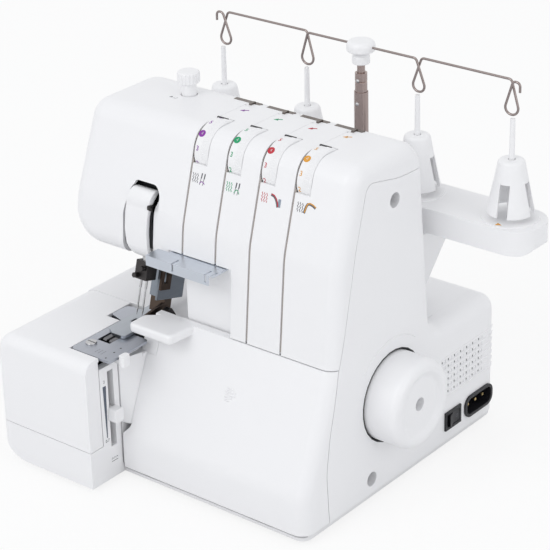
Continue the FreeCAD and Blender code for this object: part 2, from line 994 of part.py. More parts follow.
# A fixed corner stands in the door's notch.
# With it the door swings clear of the lever beside the sewing plate.
def corner_plate():
    low = d.notch_low + d.door_gap
    high = d.notch_high - d.door_gap
    near = door_left() - d.notch_width + d.door_gap
    plate = profile("corner_plate", "YZ", [
        (door_face(low), up(low)),
        (door_face(high), up(high)),
        (door_face(high) + d.wall, up(high)),
        (door_face(low) + d.wall, up(low)),
    ], left(block_right() - d.shoulder_width), left(near))
    web = profile("corner_web", "YZ", [
        (back(d.shoulder_setback), up(low - d.wall)),
        (back(d.shoulder_setback), up(low)),
        (door_face(low), up(low)),
        (door_face(high), up(high)),
        (door_face(high) + d.wall, up(high)),
        (door_face(low) + d.wall, up(low - d.wall)),
    ], left(block_right() - d.shoulder_width + d.corner_web), left(block_right() - d.shoulder_width))
    return [plate, web]


# A slanting cheek between the block's side and the door's edge.
def door_cheek():
    near = left(block_right() - d.cheek_width)
    root = left(block_right() + d.cheek_wall / 2)

    def section(height):
        face = door_face(height)
        return [
            (root, back(d.cheek_front)),
            (left(block_right()), back(d.cheek_front)),
            (near, face),
            (near, face + d.cheek_wall),
            (root, face + d.cheek_wall),
        ]

    return ruled("door_cheek", d.cheek_low, section(d.cheek_low), d.cheek_high, section(d.cheek_high))


# The fixed lower block with its floor, and the adjuster panel that stands in its open side.
def left_base(outer, inner):
    rim = d.plinth_height - d.seam_gap
    low = common("plinth_part", outer, block_zone("plinth_zone", -d.wall, rim))
    shell = cut("plinth_shell", low, inner)
    side = common("plinth_side", outer, block(
        "side_zone",
        (left(block_right() + d.panel_thickness), back(-d.block_step), up(0)),
        (left(block_right() - 1), back(d.shoulder_setback), up(rim)),
    ))
    panel = block(
        "adjuster_panel",
        (left(block_right() + d.panel_thickness), back(-d.panel_front), up(d.plinth_height - d.wall)),
        (left(block_right()), back(d.shoulder_setback + d.wall), up(d.panel_top)),
    )
    lug = common("plinth_lug", outer, rod("lug_rod", "z", hinge_place(as_size(0)), d.swing_inset, rim))
    pin = rod(
        "plinth_pin", "z", hinge_place(d.plinth_height - d.swing_pin_drop), d.swing_pin_radius,
        d.swing_pin_drop + swing_height() - d.wall * 2,
    )
    whole = join("left_base_whole", shell, side, panel, door_cheek(), lug, pin, *corner_plate())
    node(cut("left_base_body", whole, slider_slot(), panel_groove()), "left_base")


def swing_height():
    return d.bed_height - d.block_top_round - d.plinth_height


def hinge_place(height):
    rear = d.block_depth - d.block_step
    return (left(d.body_width - d.swing_inset), back(rear - d.swing_inset), up(height))


# The cloth plate is the swing-out cover of the block: front, left side and top.
def cloth_plate(outer, inner):
    rear = back(d.block_depth - d.block_step)
    high = common("cloth_part", outer, block_zone("cloth_zone", d.plinth_height, d.bed_height * 1.1))
    corner = hinge_place(as_size(0))
    notch = block(
        "hinge_notch",
        (left(d.body_width + 1), corner[1], up(0)),
        (corner[0], rear + 1, up(d.bed_height * 1.1)),
    )
    shell = cut("cloth_shell", high, inner, notch)
    lug = rod("cloth_lug", "z", hinge_place(d.plinth_height), d.swing_inset, swing_height())
    gap = d.door_gap
    flange = common("cloth_flange", outer, block(
        "flange_zone",
        (left(block_right() + d.wall), back(-d.block_step), up(d.plinth_height)),
        (left(block_right() - 1), back(-d.panel_front - gap), up(d.bed_height)),
    ))
    shell = join("cloth_with_lug", shell, lug, flange)
    panel_room = block(
        "panel_room",
        (left(block_right() + d.panel_thickness + gap), back(-d.panel_front - gap), up(d.plinth_height - 1)),
        (left(block_right() - 1), rear + 1, up(d.panel_top + gap)),
    )
    plate_room = block(
        "plate_room",
        (left(d.plate_left + gap), back(-d.plate_front - gap), up(d.bed_height - d.wall - 1)),
        (left(block_right() - 1), rear + 1, up(d.bed_height + 1)),
    )
    tongue_room = block(
        "tongue_room",
        (left(d.tongue_left + gap), back(d.tongue_front - gap), up(d.bed_height - d.wall - 1)),
        (left(d.plate_left), rear + 1, up(d.bed_height + 1)),
    )
    pin = rod(
        "cloth_pin_hole", "z", hinge_place(d.plinth_height - 1),
        d.swing_pin_radius + d.pin_play, swing_height() - d.wall,
    )
    node(cut("cloth_plate_body", shell, panel_room, plate_room, tongue_room, pin), "cloth_plate")


# The pan lies under the column and the bed. Two small hidden arms on it carry the door's pin.
def base_pan():
    edge = d.pan_inset
    inner_edge = d.block_depth - d.block_step + edge
    plate = profile("pan_plate", "XY", [
        (left(edge), back(edge), 8),
        (left(edge), back(d.base_depth - edge), 8),
        (left(d.bed_width - edge), back(d.base_depth - edge), 8),
        (left(d.bed_width - edge), back(inner_edge), 4),
        (left(block_right()), back(inner_edge)),
        (left(block_right()), back(edge)),
    ], up(0), up(d.pan_thickness))
    rebate = block(
        "pan_rebate",
        (left(block_right() + 1), back(0), up(d.pan_thickness - d.pan_rebate_height)),
        (left(edge - 1), back(d.pan_rebate_depth), up(d.pan_thickness + 1)),
    )
    pieces = [cut("pan_rebated", plate, rebate)]
    axis = (back(door_axis_setback()), up(door_axis_height()))
    post_rear = d.lug_post_setback + d.lug_post
    for number, place in enumerate(lug_places()):
        near = left(place - d.lug_width)
        pieces.append(rod(f"pan_eye_{number}", "x", (left(place), *axis), d.lug_eye_radius, d.lug_width))
        pieces.append(block(
            f"pan_arm_{number}",
            (left(place), axis[0], axis[1] - d.lug_eye_radius),
            (near, back(post_rear), axis[1] + d.lug_eye_radius),
        ))
        pieces.append(block(
            f"pan_post_{number}",
            (left(place), back(d.lug_post_setback), up(d.pan_thickness / 2)),
            (near, back(post_rear), axis[1]),
        ))
    hole = rod(
        "pan_pin_hole", "x", (left(block_right()), *axis), d.pin_radius + d.pin_play, block_right(),
    )
    node(cut("base_pan_body", join("pan_whole", *pieces), hole), "base_pan")


def rubber_feet():
    feet = []
    far = d.body_width - d.block_round - d.foot_inset
    deep = d.base_depth - d.foot_inset
    front_left = d.foot_inset - d.block_step
    spots = [(d.foot_inset, d.foot_inset), (d.foot_inset, deep), (far, deep), (far, front_left)]
    for number, (across, along) in enumerate(spots):
        feet.append(turned(f"foot_{number}", "z", (left(across), back(along), 0), [
            (0, 0),
            (d.foot_radius - 1, 0, 0.8),
            (d.foot_radius, d.foot_height),
            (0, d.foot_height),
        ]))
    node(group("rubber_feet_set", *feet), "rubber_feet")


# front door over the loopers


def door_left():
    return block_right() - d.door_side_gap


def door_axis_setback():
    return d.bead_radius


def door_axis_height():
    return d.pan_thickness + d.door_gap + d.bead_radius


def lug_places():
    return [block_right() - d.lug_inset, d.right_depth + d.lug_inset]


def door_form():
    low = up(d.pan_thickness + d.door_gap)
    high = up(d.cover_top - d.door_gap)
    gap = d.door_gap
    form = profile("door_form", "YZ", [
        (back(0), low),
        (back(0), up(d.band_height), d.band_round),
        (back(d.seam_setback), high),
        (back(d.seam_top_setback - gap), high),
        (back(d.seam_hip_setback - gap), up(d.seam_hip_height), d.kink_round),
        (back(d.seam_waist_setback - gap), up(d.seam_waist_height), d.kink_round),
        (back(d.seam_low_setback - gap * 1.5), low),
    ], left(door_left()), left(0))
    middle = d.cover_top.value - d.band_height.value

    def front_right(edge):
        spot = edge.CenterOfMass
        rise = max(0.0, spot.z - up(d.band_height).value)
        face = back(0).value + d.seam_setback.value * rise / middle
        return on_plane(edge, "x", door_left()) and spot.y < face + 2

    return soften_body(form, "door_form_edges", d.side_round, front_right)


# The finger bar along the door's top, overhanging at its left end.
def door_bar():
    low = up(d.cover_top - d.bar_height)
    high = up(d.cover_top - d.door_gap)
    root = d.seam_setback + d.door_gap
    far = door_left()
    bar = profile("door_bar", "XY", [
        (left(far), back(d.bar_reach), d.bar_corner),
        (left(far), back(d.bar_rear), d.bar_corner),
        (left(far - d.door_curve - d.wall), back(root)),
        (left(far - d.bar_width - d.wall), back(root)),
        (left(far - d.bar_width), back(d.bar_reach), d.bar_corner),
    ], low, high)

    def outer_edge(edge):
        flat = on_plane(edge, "z", 0) or on_plane(edge, "z", high - low)
        return flat and not on_plane(edge, "y", back(root))

    return soften_body(bar, "door_bar_edges", d.bar_edge, outer_edge)


def looper_cover():
    wall = d.wall
    low = d.pan_thickness + d.door_gap + wall
    high = d.cover_top - d.door_gap - wall
    inside = profile("door_inside", "YZ", [
        (back(wall), up(low)),
        (back(wall), up(d.band_height), d.band_round - wall),
        (back(d.seam_setback + wall), up(high)),
        (back(d.column_depth), up(high)),
        (back(d.column_depth), up(low)),
    ], left(door_left() - wall), left(wall))
    soften_body(inside, "door_inside_edges", d.side_round - wall, door_inside_edge)
    shell = cut("door_shell", door_form(), inside, *door_side_curve())
    place = (back(door_axis_setback()), up(door_axis_height()))
    bead = rod("door_bead", "x", (left(door_left()), *place), d.bead_radius, door_left() - d.side_round)
    whole = join("door_whole", shell, door_bar(), bead)
    openings = [rod(
        "door_pin_hole", "x", (left(block_right()), *place), d.pin_radius + d.pin_play,
        block_right() - d.side_round - wall,
    )]
    for number, spot in enumerate(lug_places()):
        openings.append(block(
            f"lug_room_{number}",
            (left(spot + d.door_slide + 1), back(d.lug_skin), up(d.pan_thickness)),
            (left(spot - d.lug_width - 1), back(d.seam_top_setback), place[1] + d.bead_radius * 1.4),
        ))
    node(cut("looper_cover_body", whole, *openings), "looper_cover")
    node(rod(
        "door_pin", "x", (left(door_left() - wall), *place), d.pin_radius,
        door_left() - d.side_round - wall * 3,
    ), "looper_cover_pin")


def door_inside_edge(edge):
    spot = edge.CenterOfMass
    rise = max(0.0, spot.z - up(d.band_height).value)
    face = back(d.wall).value + d.seam_setback.value * rise / (d.cover_top - d.band_height).value
    return on_plane(edge, "x", door_left() - d.wall * 2) and spot.y < face + 2


# Above its lower band the door is drawn in on its left, clear of the feed adjuster's knob.
# The hidden rear of its left wall is cut back, so that it swings up under the cheek.
def door_side_curve():
    turn_in = door_left() - d.door_curve
    edge = profile("door_side_edge", "XZ", [
        (left(d.body_width), up(d.band_height)),
        (left(door_left()), up(d.band_height)),
        (left(turn_in), up(d.band_height + d.door_curve), d.door_curve),
        (left(turn_in), up(d.cover_top)),
        (left(d.body_width), up(d.cover_top)),
    ], back(-d.block_step), back(d.column_depth))
    relief = block(
        "door_side_relief",
        (left(d.body_width), back(d.side_relief_setback), up(d.side_relief_height)),
        (left(turn_in), back(d.column_depth), up(d.cover_top)),
    )
    notch = block(
        "door_notch",
        (left(d.body_width), back(-d.block_step), up(d.notch_low)),
        (left(door_left() - d.notch_width), back(d.column_depth), up(d.notch_high)),
    )
    return [edge, relief, notch]


# thread guides, dials and the shield on the head


def top_thread_guides():
    strips = []
    for number in range(4):
        right = slot_place(number) + d.slot_pitch * 0.5
        base = d.body_height - d.sheet_thickness
        rear = d.guide_strip_setback + d.guide_strip_depth
        strip = block(
            f"guide_strip_{number}",
            (left(right), back(d.guide_strip_setback), up(base)),
            (left(right - d.guide_strip_width), back(rear), up(d.body_height)),
        )
        hook_right = slot_place(number) - 2
        hook = block(
            f"guide_hook_{number}",
            (left(hook_right), back(d.guide_strip_setback - 3.5), up(d.body_height)),
            (left(hook_right - 2), back(d.guide_strip_setback + 2), up(d.body_height + d.sheet_thickness)),
        )
        strips.append(join(f"guide_{number}", strip, hook))
    node(group("top_guides", *strips), "top_thread_guides")


def needle_thread_guide():
    front = d.recess_setback - d.guide_plate_depth
    far = d.guide_plate_right + d.guide_plate_width
    top = d.guide_height - d.door_gap
    sheet_low = up(top - d.sheet_thickness)
    shelf = profile("guide_shelf", "XY", [
        (left(far), back(front)),
        (left(d.guide_plate_right), back(front), 2),
        (left(d.guide_plate_right), back(d.recess_setback)),
        (left(d.column_width * 1.08), back(d.recess_setback)),
        (left(d.column_width * 1.08), back(d.kink_setback - 4)),
        (left(far), back(d.kink_setback - 4)),
    ], sheet_low, up(top))
    lip = block(
        "guide_lip_sheet",
        (left(far), back(front), up(top - d.guide_lip)),
        (left(d.guide_plate_right + 4), back(front + d.sheet_thickness), up(top)),
    )
    notches = []
    for number, place in enumerate((slot_place(3) - 3, slot_place(2) - 3, slot_place(2) - 8)):
        notches.append(block(
            f"guide_notch_{number}",
            (left(place), back(front - 1), up(top - d.guide_lip + 2)),
            (left(place - 1.6), back(front + d.guide_plate_depth * 0.4), up(top + 1)),
        ))
    node(cut("guide_plate", join("guide_sheet", shelf, lip), *notches), "needle_thread_guide")


def tension_dials():
    for number in range(4):
        start = slot_place(number) - (d.window_width - d.dial_width) / 2
        bore = d.dial_shaft_radius + d.dial_play
        dial = turned(f"dial_{number}", "x", (left(start), back(d.dial_setback), up(d.dial_height)), [
            (bore, 0),
            (d.dial_radius, 0, 0.8),
            (d.dial_radius, d.dial_width, 0.8),
            (bore, d.dial_width),
        ])
        node(dial, f"tension_dial_{number + 1}")


def tension_discs():
    discs = []
    for number in range(4):
        for side, gap in enumerate((1.0, 2.6)):
            across = slot_place(number) + gap + d.sheet_thickness
            place = (left(across), back(d.dial_setback), up(d.dial_height))
            discs.append(turned(f"disc_{number}_{side}", "x", place, [
                (d.dial_shaft_radius + d.dial_play, 0),
                (d.dial_shaft_radius * 2.4, 0),
                (d.dial_shaft_radius * 2.4, d.sheet_thickness),
                (d.dial_shaft_radius + d.dial_play, d.sheet_thickness),
            ]))
    node(group("disc_set", *discs), "tension_discs")


def take_up_cover():
    foot = d.seam_setback + (d.shield_bottom - d.cover_top) * 0.097
    bulge = d.shield_bulge
    panel = profile("shield_panel", "YZ", [
        (back(foot + 4), up(d.shield_bottom - 1)),
        (back(foot - bulge + 2), up(d.shield_bottom + 4), 12),
        (back(foot - bulge + 1), up(d.shield_bottom + d.shield_height * 0.6), 45),
        (back(foot + bulge + 2), up(d.shield_bottom + d.shield_height - 4), 5),
        (back(foot + bulge + 8), up(d.shield_bottom + d.shield_height - 6)),
        (back(foot + 5), up(d.shield_bottom + d.shield_height * 0.55), 60),
        (back(foot + 5), up(d.shield_bottom + 10)),
    ], left(d.shield_left), left(d.shield_left - d.shield_width))
    tab = block(
        "shield_tab",
        (left(d.bar_right + 6), back(foot + 2), up(d.arm_low)),
        (left(d.bar_right - 3), back(d.frame_front), up(d.arm_low + 6)),
    )
    node(join("shield_body", panel, tab), "take_up_cover")


# inner frame


def bracket_left():
    return slot_place(3) + 14


def bracket_right():
    return slot_place(0) - 20


def frame_block(name, across, along, rise):
    return block(
        name,
        (left(across[0]), back(along[0]), up(rise[0])),
        (left(across[1]), back(along[1]), up(rise[1])),
    )


def frame_casting():
    plate = d.frame_plate
    near = d.frame_right
    far = d.column_width - d.wall * 3
    deep = (d.wheel_setback - 15, d.wheel_setback + 15)
    arm = (d.arm_low, d.arm_high)
    bar = d.bar_right
    base_low = d.pan_thickness
    base_along = (d.recess_setback + 17, d.motor_setback + 20)
    ear_along = (d.wheel_setback - 5, d.lifter_setback + 7)
    ear_rise = (d.arm_low - 6, d.lifter_height + 10)
    dial_along = (d.dial_setback - 8, d.dial_setback + 16)
    dial_rise = (d.arm_low, d.dial_height + 10)
    head_along = (d.frame_front, d.wheel_setback)
    head_rise = (d.arm_low - 8, d.arm_high - 8)
    pieces = [
        frame_block("frame_base", (far, near), base_along, (base_low, base_low + plate)),
        frame_block("frame_right", (near + plate, near), deep, (base_low, d.arm_high)),
        frame_block("frame_left", (far, far - plate), deep, (base_low, d.arm_high)),
        frame_block("frame_arm", (bar - 10, near), deep, arm),
        frame_block("frame_head", (bar + 11, bar - 10), head_along, head_rise),
        frame_block("frame_ear_left", (bar + 11, bar + 5.5), ear_along, ear_rise),
        frame_block("frame_ear_right", (bar - 5.5, bar - 10), ear_along, ear_rise),
        frame_block("frame_bracket_left", (bracket_left() + plate, bracket_left()), dial_along, dial_rise),
        frame_block("frame_bracket_right", (bracket_right(), near), dial_along, dial_rise),
    ]
    saddle = frame_block(
        "frame_saddle_block", (d.pulley_right + d.motor_length + 4, d.pulley_right + 30),
        (d.motor_setback - 18, d.motor_setback + 18), (d.pan_thickness, d.motor_height - 14),
    )
    pieces.append(cut("frame_saddle", saddle, motor_can("saddle_cut")))
    pieces.append(rod(
        "frame_lifter_pin", "x", (left(bar + 11), back(d.lifter_setback), up(d.lifter_height)),
        d.lifter_pin_radius, 21,
    ))
    shaft_left = bracket_left() + plate
    pieces.append(rod(
        "frame_dial_shaft", "x", (left(shaft_left), back(d.dial_setback), up(d.dial_height)),
        d.dial_shaft_radius, shaft_left - near,
    ))
    whole = join("frame_whole", *pieces)
    axis = (back(d.wheel_setback), up(d.wheel_height))
    openings = [
        rod("frame_shaft_hole", "x", (left(d.column_width), *axis), d.bush_radius, d.column_width),
        bar_rod("frame_needle_hole", d.needle_setback, 30, d.needle_bar_radius + d.bar_play, 120),
        bar_rod("frame_presser_hole", d.presser_setback, 30, d.presser_bar_radius + d.bar_play, 120),
        rod(
            "frame_take_up_hole", "x", (left(bar), back(d.take_up_setback), up(d.take_up_height)),
            d.lifter_pin_radius + d.pin_play, 40,
        ),
    ]
    node(cut("frame_body", whole, *openings), "frame_casting")
    bushes = []
    for number, across in enumerate((near + plate, far)):
        bushes.append(turned(f"bush_{number}", "x", (left(across), *axis), [
            (d.shaft_radius + d.shaft_play, 0),
            (d.bush_radius, 0),
            (d.bush_radius, plate),
            (d.shaft_radius + d.shaft_play, plate),
        ]))
    node(group("bush_set", *bushes), "shaft_bushes")


# drive


def drive():
    axis = (back(d.wheel_setback), up(d.wheel_height))
    reach = d.column_width - d.wall * 2
    node(rod("shaft_rod", "x", (left(reach), *axis), d.shaft_radius, reach - d.wheel_seat), "main_shaft")
    node(turned("wheel_body", "x", (left(0), *axis), [
        (0, -d.wheel_seat),
        (d.wheel_radius, -d.wheel_seat),
        (d.wheel_radius, d.wheel_reach, 6.5),
        (d.wheel_radius * 0.76, d.wheel_reach, 4),
        (d.wheel_radius * 0.62, d.wheel_reach - 3, 5),
        (d.wheel_bore, d.wheel_reach - 3),
        (d.wheel_bore, d.wheel_reach - 14),
        (0, d.wheel_reach - 14),
    ]), "handwheel")
    node(turned("pulley_body", "x", (left(d.pulley_right + d.pulley_width), *axis), [
        (d.shaft_radius, -2),
        (d.pulley_radius + 2, -2),
        (d.pulley_radius + 2, -0.5),
        (d.pulley_radius, -0.5),
        (d.pulley_radius, d.pulley_width + 0.5),
        (d.pulley_radius + 2, d.pulley_width + 0.5),
        (d.pulley_radius + 2, d.pulley_width + 2),
        (d.shaft_radius, d.pulley_width + 2),
    ]), "shaft_pulley")


def motor_can(name):
    return rod(
        name, "x", (left(d.pulley_right + d.motor_length + 22), back(d.motor_setback), up(d.motor_height)),
        d.motor_radius, d.motor_length,
    )


def motor():
    axis = (back(d.motor_setback), up(d.motor_height))
    face = d.pulley_right + 22
    hole = rod("motor_hole", "x", (left(face + 14), *axis), d.motor_shaft_radius + d.shaft_play, 30)
    nose = rod("motor_nose", "x", (left(face), *axis), d.motor_shaft_radius * 3, 5)
    node(cut("motor_body", join("motor_whole", motor_can("motor_can"), nose), hole), "motor")
    small = d.motor_pulley_radius
    node(turned("motor_pulley_body", "x", (left(d.pulley_right + d.pulley_width), *axis), [
        (0, -22),
        (d.motor_shaft_radius, -22),
        (d.motor_shaft_radius, -2),
        (small + 2, -2),
        (small + 2, -0.5),
        (small, -0.5),
        (small, d.pulley_width + 0.5),
        (small + 2, d.pulley_width + 0.5),
        (small + 2, d.pulley_width + 2),
        (0, d.pulley_width + 2),
    ]), "motor_pulley")


# A closed band round both pulleys: two arcs and two straight runs.
def band(first, second, first_radius, second_radius, width):
    span = second - first
    length = span.Length
    along = span / length
    across = Vector(0, -along.z, along.y)
    lean = math.acos((first_radius - second_radius) / length)

    def spot(centre, radius, angle):
        return centre + (along * math.cos(angle) + across * math.sin(angle)) * radius

    tops = [spot(first, first_radius, lean), spot(second, second_radius, lean)]
    feet = [spot(first, first_radius, -lean), spot(second, second_radius, -lean)]
    edges = [
        Part.LineSegment(tops[0], tops[1]).toShape(),
        Part.Arc(tops[1], spot(second, second_radius, 0), feet[1]).toShape(),
        Part.LineSegment(feet[1], feet[0]).toShape(),
        Part.Arc(feet[0], spot(first, first_radius, math.pi), tops[0]).toShape(),
    ]
    return Part.Face(Part.Wire(edges)).extrude(Vector(width, 0, 0))


def drive_belt():
    start = left(d.pulley_right + d.pulley_width).value
    big = Vector(start, back(d.wheel_setback).value, up(d.wheel_height).value)
    small = Vector(start, back(d.motor_setback).value, up(d.motor_height).value)
    radii = [(d.pulley_radius + d.belt_play).value, (d.motor_pulley_radius + d.belt_play).value]
    thick = d.belt_thickness.value
    width = d.pulley_width.value
    outer = band(big, small, radii[0] + thick, radii[1] + thick, width)
    belt = doc.addObject("Part::Feature", "belt_loop")
    belt.Shape = outer.cut(band(big, small, radii[0], radii[1], width))
    node(belt, "drive_belt")


# right side fittings


def power_switch():
    place = (d.switch_setback, d.switch_height)
    half = (d.switch_length / 2, d.switch_width / 2)
    rim = d.bezel_rim

    def slab(name, inset, low, high):
        return block(
            name,
            (left(-low), back(place[0] - half[0] + inset), up(place[1] - half[1] + inset)),
            (left(-high), back(place[0] + half[0] - inset), up(place[1] + half[1] - inset)),
        )

    axis = (left(1), back(place[0]))
    axle_half = half[1] - rim - d.fitting_play * 4
    bezel = slab("switch_bezel", 0, as_size(0), d.bezel_height)
    tub = slab("switch_tub", rim, as_size(-14), as_size(0))
    well = slab("switch_well", rim * 1.6, as_size(-11), as_size(4))
    hole = rod(
        "switch_axle_hole", "z", (*axis, up(place[1]) - axle_half - d.fitting_play),
        d.axle_radius + d.shaft_play, axle_half * 2 + d.fitting_play * 2,
    )
    node(cut("switch_body", join("switch_whole", bezel, tub), well, hole), "switch_frame")
    reach = half[0] - rim * 1.6 - d.bezel_height * 0.4
    deep = half[1] - rim * 1.6 - d.fitting_play * 3
    rocker = profile("rocker", "XY", [
        (-6, -3),
        (3.4, -reach),
        (2.2, 0),
        (3.4, reach),
        (-6, 3),
    ], -deep, deep)
    move(rocker, (*axis, up(place[1]) - deep), Rotation(Vector(0, 0, 1), d.rocker_tilt.value))
    axle = rod("rocker_axle", "z", (*axis, up(place[1]) - axle_half), d.axle_radius, axle_half * 2)
    node(join("rocker_body", rocker, axle), "switch_rocker")


def inlet_outline(name, inset, low, high):
    half = (d.inlet_length / 2 - inset, d.inlet_width / 2 - inset)
    middle = (d.inlet_setback, d.inlet_height)
    round_corner = d.inlet_width * 0.42 - inset
    corners = []
    for across, along in ((-1, -1), (1, -1), (1, 1), (-1, 1)):
        corners.append((back(middle[0] + half[0] * across), up(middle[1] + half[1] * along), round_corner))
    return profile(name, "YZ", corners, left(-low), left(-high))


def inlet():
    rim = d.bezel_rim
    flange = inlet_outline("inlet_flange", 0, as_size(0), d.bezel_height)
    tub = inlet_outline("inlet_tub", rim, as_size(-18), as_size(0))
    well = inlet_outline("inlet_well", rim * 1.7, as_size(-15), as_size(4))
    node(cut("inlet_body", join("inlet_whole", flange, tub), well), "inlet_socket")
    pins = []
    for number in range(3):
        place = (left(15), back(d.inlet_setback + d.inlet_pin_pitch * (number - 1)), up(d.inlet_height))
        pins.append(rod(f"inlet_pin_{number}", "x", place, d.inlet_pin_radius, 13))
    holes = group("inlet_pin_set", *pins)
    node(holes, "inlet_pins")


def case_screws():
    screws = []
    for number, (setback, height) in enumerate(screw_places()):
        place = (left(d.cup_depth - d.wall), back(setback), up(height))
        head = rod(f"screw_head_{number}", "x", place, d.screw_radius, 2.4)
        slot = block(
            f"screw_slot_{number}",
            (left(d.cup_depth - d.wall - 1.4), back(setback - d.screw_radius), up(height - 0.5)),
            (left(d.cup_depth - d.wall - 4), back(setback + d.screw_radius), up(height + 0.5)),
        )
        shank = rod(
            f"screw_shank_{number}", "x", (left(d.cup_depth + 4), back(setback), up(height)),
            d.screw_shank_radius, 4 + d.wall,
        )
        screws.append(cut(f"screw_{number}", join(f"screw_whole_{number}", head, shank), slot))
    node(group("screw_set", *screws), "case_screws")


# needle bar, presser bar and what they carry


def bar_spot(setback, aside, ahead, along):
    lean = math.radians(d.bar_lean.value)
    ahead = as_size(ahead)
    along = as_size(along)
    return (
        left(d.bar_right - aside),
        back(setback) + ahead * math.cos(lean) + along * math.sin(lean),
        up(d.bed_height) - ahead * math.sin(lean) + along * math.cos(lean),
    )


# A box square to the bars. The corners are given aside, ahead and along the bar.
def bar_block(name, setback, low, high):
    box = doc.addObject("Part::Box", name)
    for side, start, end in zip(("Length", "Width", "Height"), low, high):
        bind(box, side, as_size(end) - start)
    return move(box, bar_spot(setback, *low), leaning())


def needle_bar():
    start = d.clamp_start
    seat = start + d.clamp_height * 0.5
    node(bar_rod("needle_rod", d.needle_setback, seat, d.needle_bar_radius, 62), "needle_bar")
    half = d.clamp_half
    clamp = bar_block("clamp_block", d.needle_setback, (-half, -5, start), (half, 6, start + d.clamp_height))
    socket = bar_rod("clamp_socket", d.needle_setback, seat, d.needle_bar_radius, d.clamp_height)
    holes = []
    needles = []
    screws = []
    point = 4
    shank_length = 7
    shank = d.needle_radius * 1.5
    hole = start + d.clamp_height * 0.4
    for number, aside in enumerate((-d.needle_pitch / 2, d.needle_pitch / 2)):
        holes.append(bar_rod(
            f"needle_hole_{number}", d.needle_setback, start - 1, shank, hole - start + 1, aside,
        ))
        blade = bar_rod(
            f"needle_blade_{number}", d.needle_setback, d.needle_tip + point,
            d.needle_radius, start - d.needle_tip - point - shank_length + 1, aside,
        )
        top = bar_rod(
            f"needle_shank_{number}", d.needle_setback, start - shank_length,
            shank, hole - start + shank_length, aside,
        )
        tip = doc.addObject("Part::Cone", f"needle_point_{number}")
        bind(tip, "Radius1", 0.1)
        bind(tip, "Radius2", d.needle_radius)
        bind(tip, "Height", point)
        move(tip, bar_spot(d.needle_setback, aside, 0, d.needle_tip), leaning())
        needles.append(join(f"needle_{number}", blade, top, tip))
        spot = bar_spot(d.needle_setback, aside, -5, start + 3 + number * 6)
        screw = doc.addObject("Part::Cylinder", f"clamp_screw_{number}")
        bind(screw, "Radius", d.clamp_screw_radius)
        bind(screw, "Height", d.clamp_screw_length)
        screws.append(move(screw, spot, leaning().multiply(Rotation(Vector(1, 0, 0), 90))))
    node(cut("clamp_body", join("clamp_whole", clamp, *screws), socket, *holes), "needle_clamp")
    node(group("needle_pair", *needles), "needles")


# The holder's slotted side plate and guide stand in front of the bar, on the right of the needles.
def foot_holder():
    setback = d.presser_setback
    near = d.holder_half
    far = near + d.holder_plate
    clamp = bar_block("holder_block", setback, (-near, -11, 12), (near, 8, 32))
    plate = bar_block("holder_plate", setback, (near, -20, 12), (far, 9, 36))
    guide = bar_block("holder_guide", setback, (far, -20, 20), (far + d.holder_plate, -9, 41))
    window = bar_block("holder_window", setback, (near - 1, -17, 25), (far + d.holder_plate + 1, -13, 37))
    bore = bar_rod("holder_bore", setback, d.presser_foot_start, d.presser_bar_radius, 30)
    node(cut("holder_body", join("holder_whole", clamp, plate, guide), window, bore), "presser_foot_holder")


def presser_bar():
    node(bar_rod(
        "presser_rod", d.presser_setback, d.presser_foot_start, d.presser_bar_radius, d.presser_bar_length,
    ), "presser_bar")
    foot_holder()
    floor = d.bed_height + d.sole_clearance
    top = floor + d.sole_thickness
    near = d.bar_right - d.sole_right
    far = d.bar_right + d.sole_left
    sole = profile("foot_sole", "XY", [
        (left(far), back(d.sole_rear), 2),
        (left(far), back(d.sole_front + 5), 4),
        (left(far - 8), back(d.sole_front), 4),
        (left(near), back(d.sole_front), 3),
        (left(near), back(d.sole_rear), 2),
    ], up(floor), up(top))
    ankle = bar_block("foot_ankle", d.presser_setback, (-5, -11, 1), (d.sole_right, -3, 12))
    arm = profile("foot_arm", "YZ", [
        (back(62), up(top + 9.8)),
        (back(62), up(top + 6.3)),
        (back(38), up(top + 2.3)),
        (back(36), up(top)),
        (back(30), up(top)),
        (back(33), up(top + 4.3)),
        (back(38), up(top + 6.8)),
    ], left(near + d.arm_thickness), left(near))
    slot = block(
        "foot_slot",
        (left(d.bar_right + 4.5), back(d.needle_setback - 3), up(d.bed_height)),
        (left(d.bar_right - 4.5), back(d.needle_setback + 3), up(top + 1)),
    )
    node(cut("foot_body", join("foot_whole", sole, ankle, arm), slot), "presser_foot")


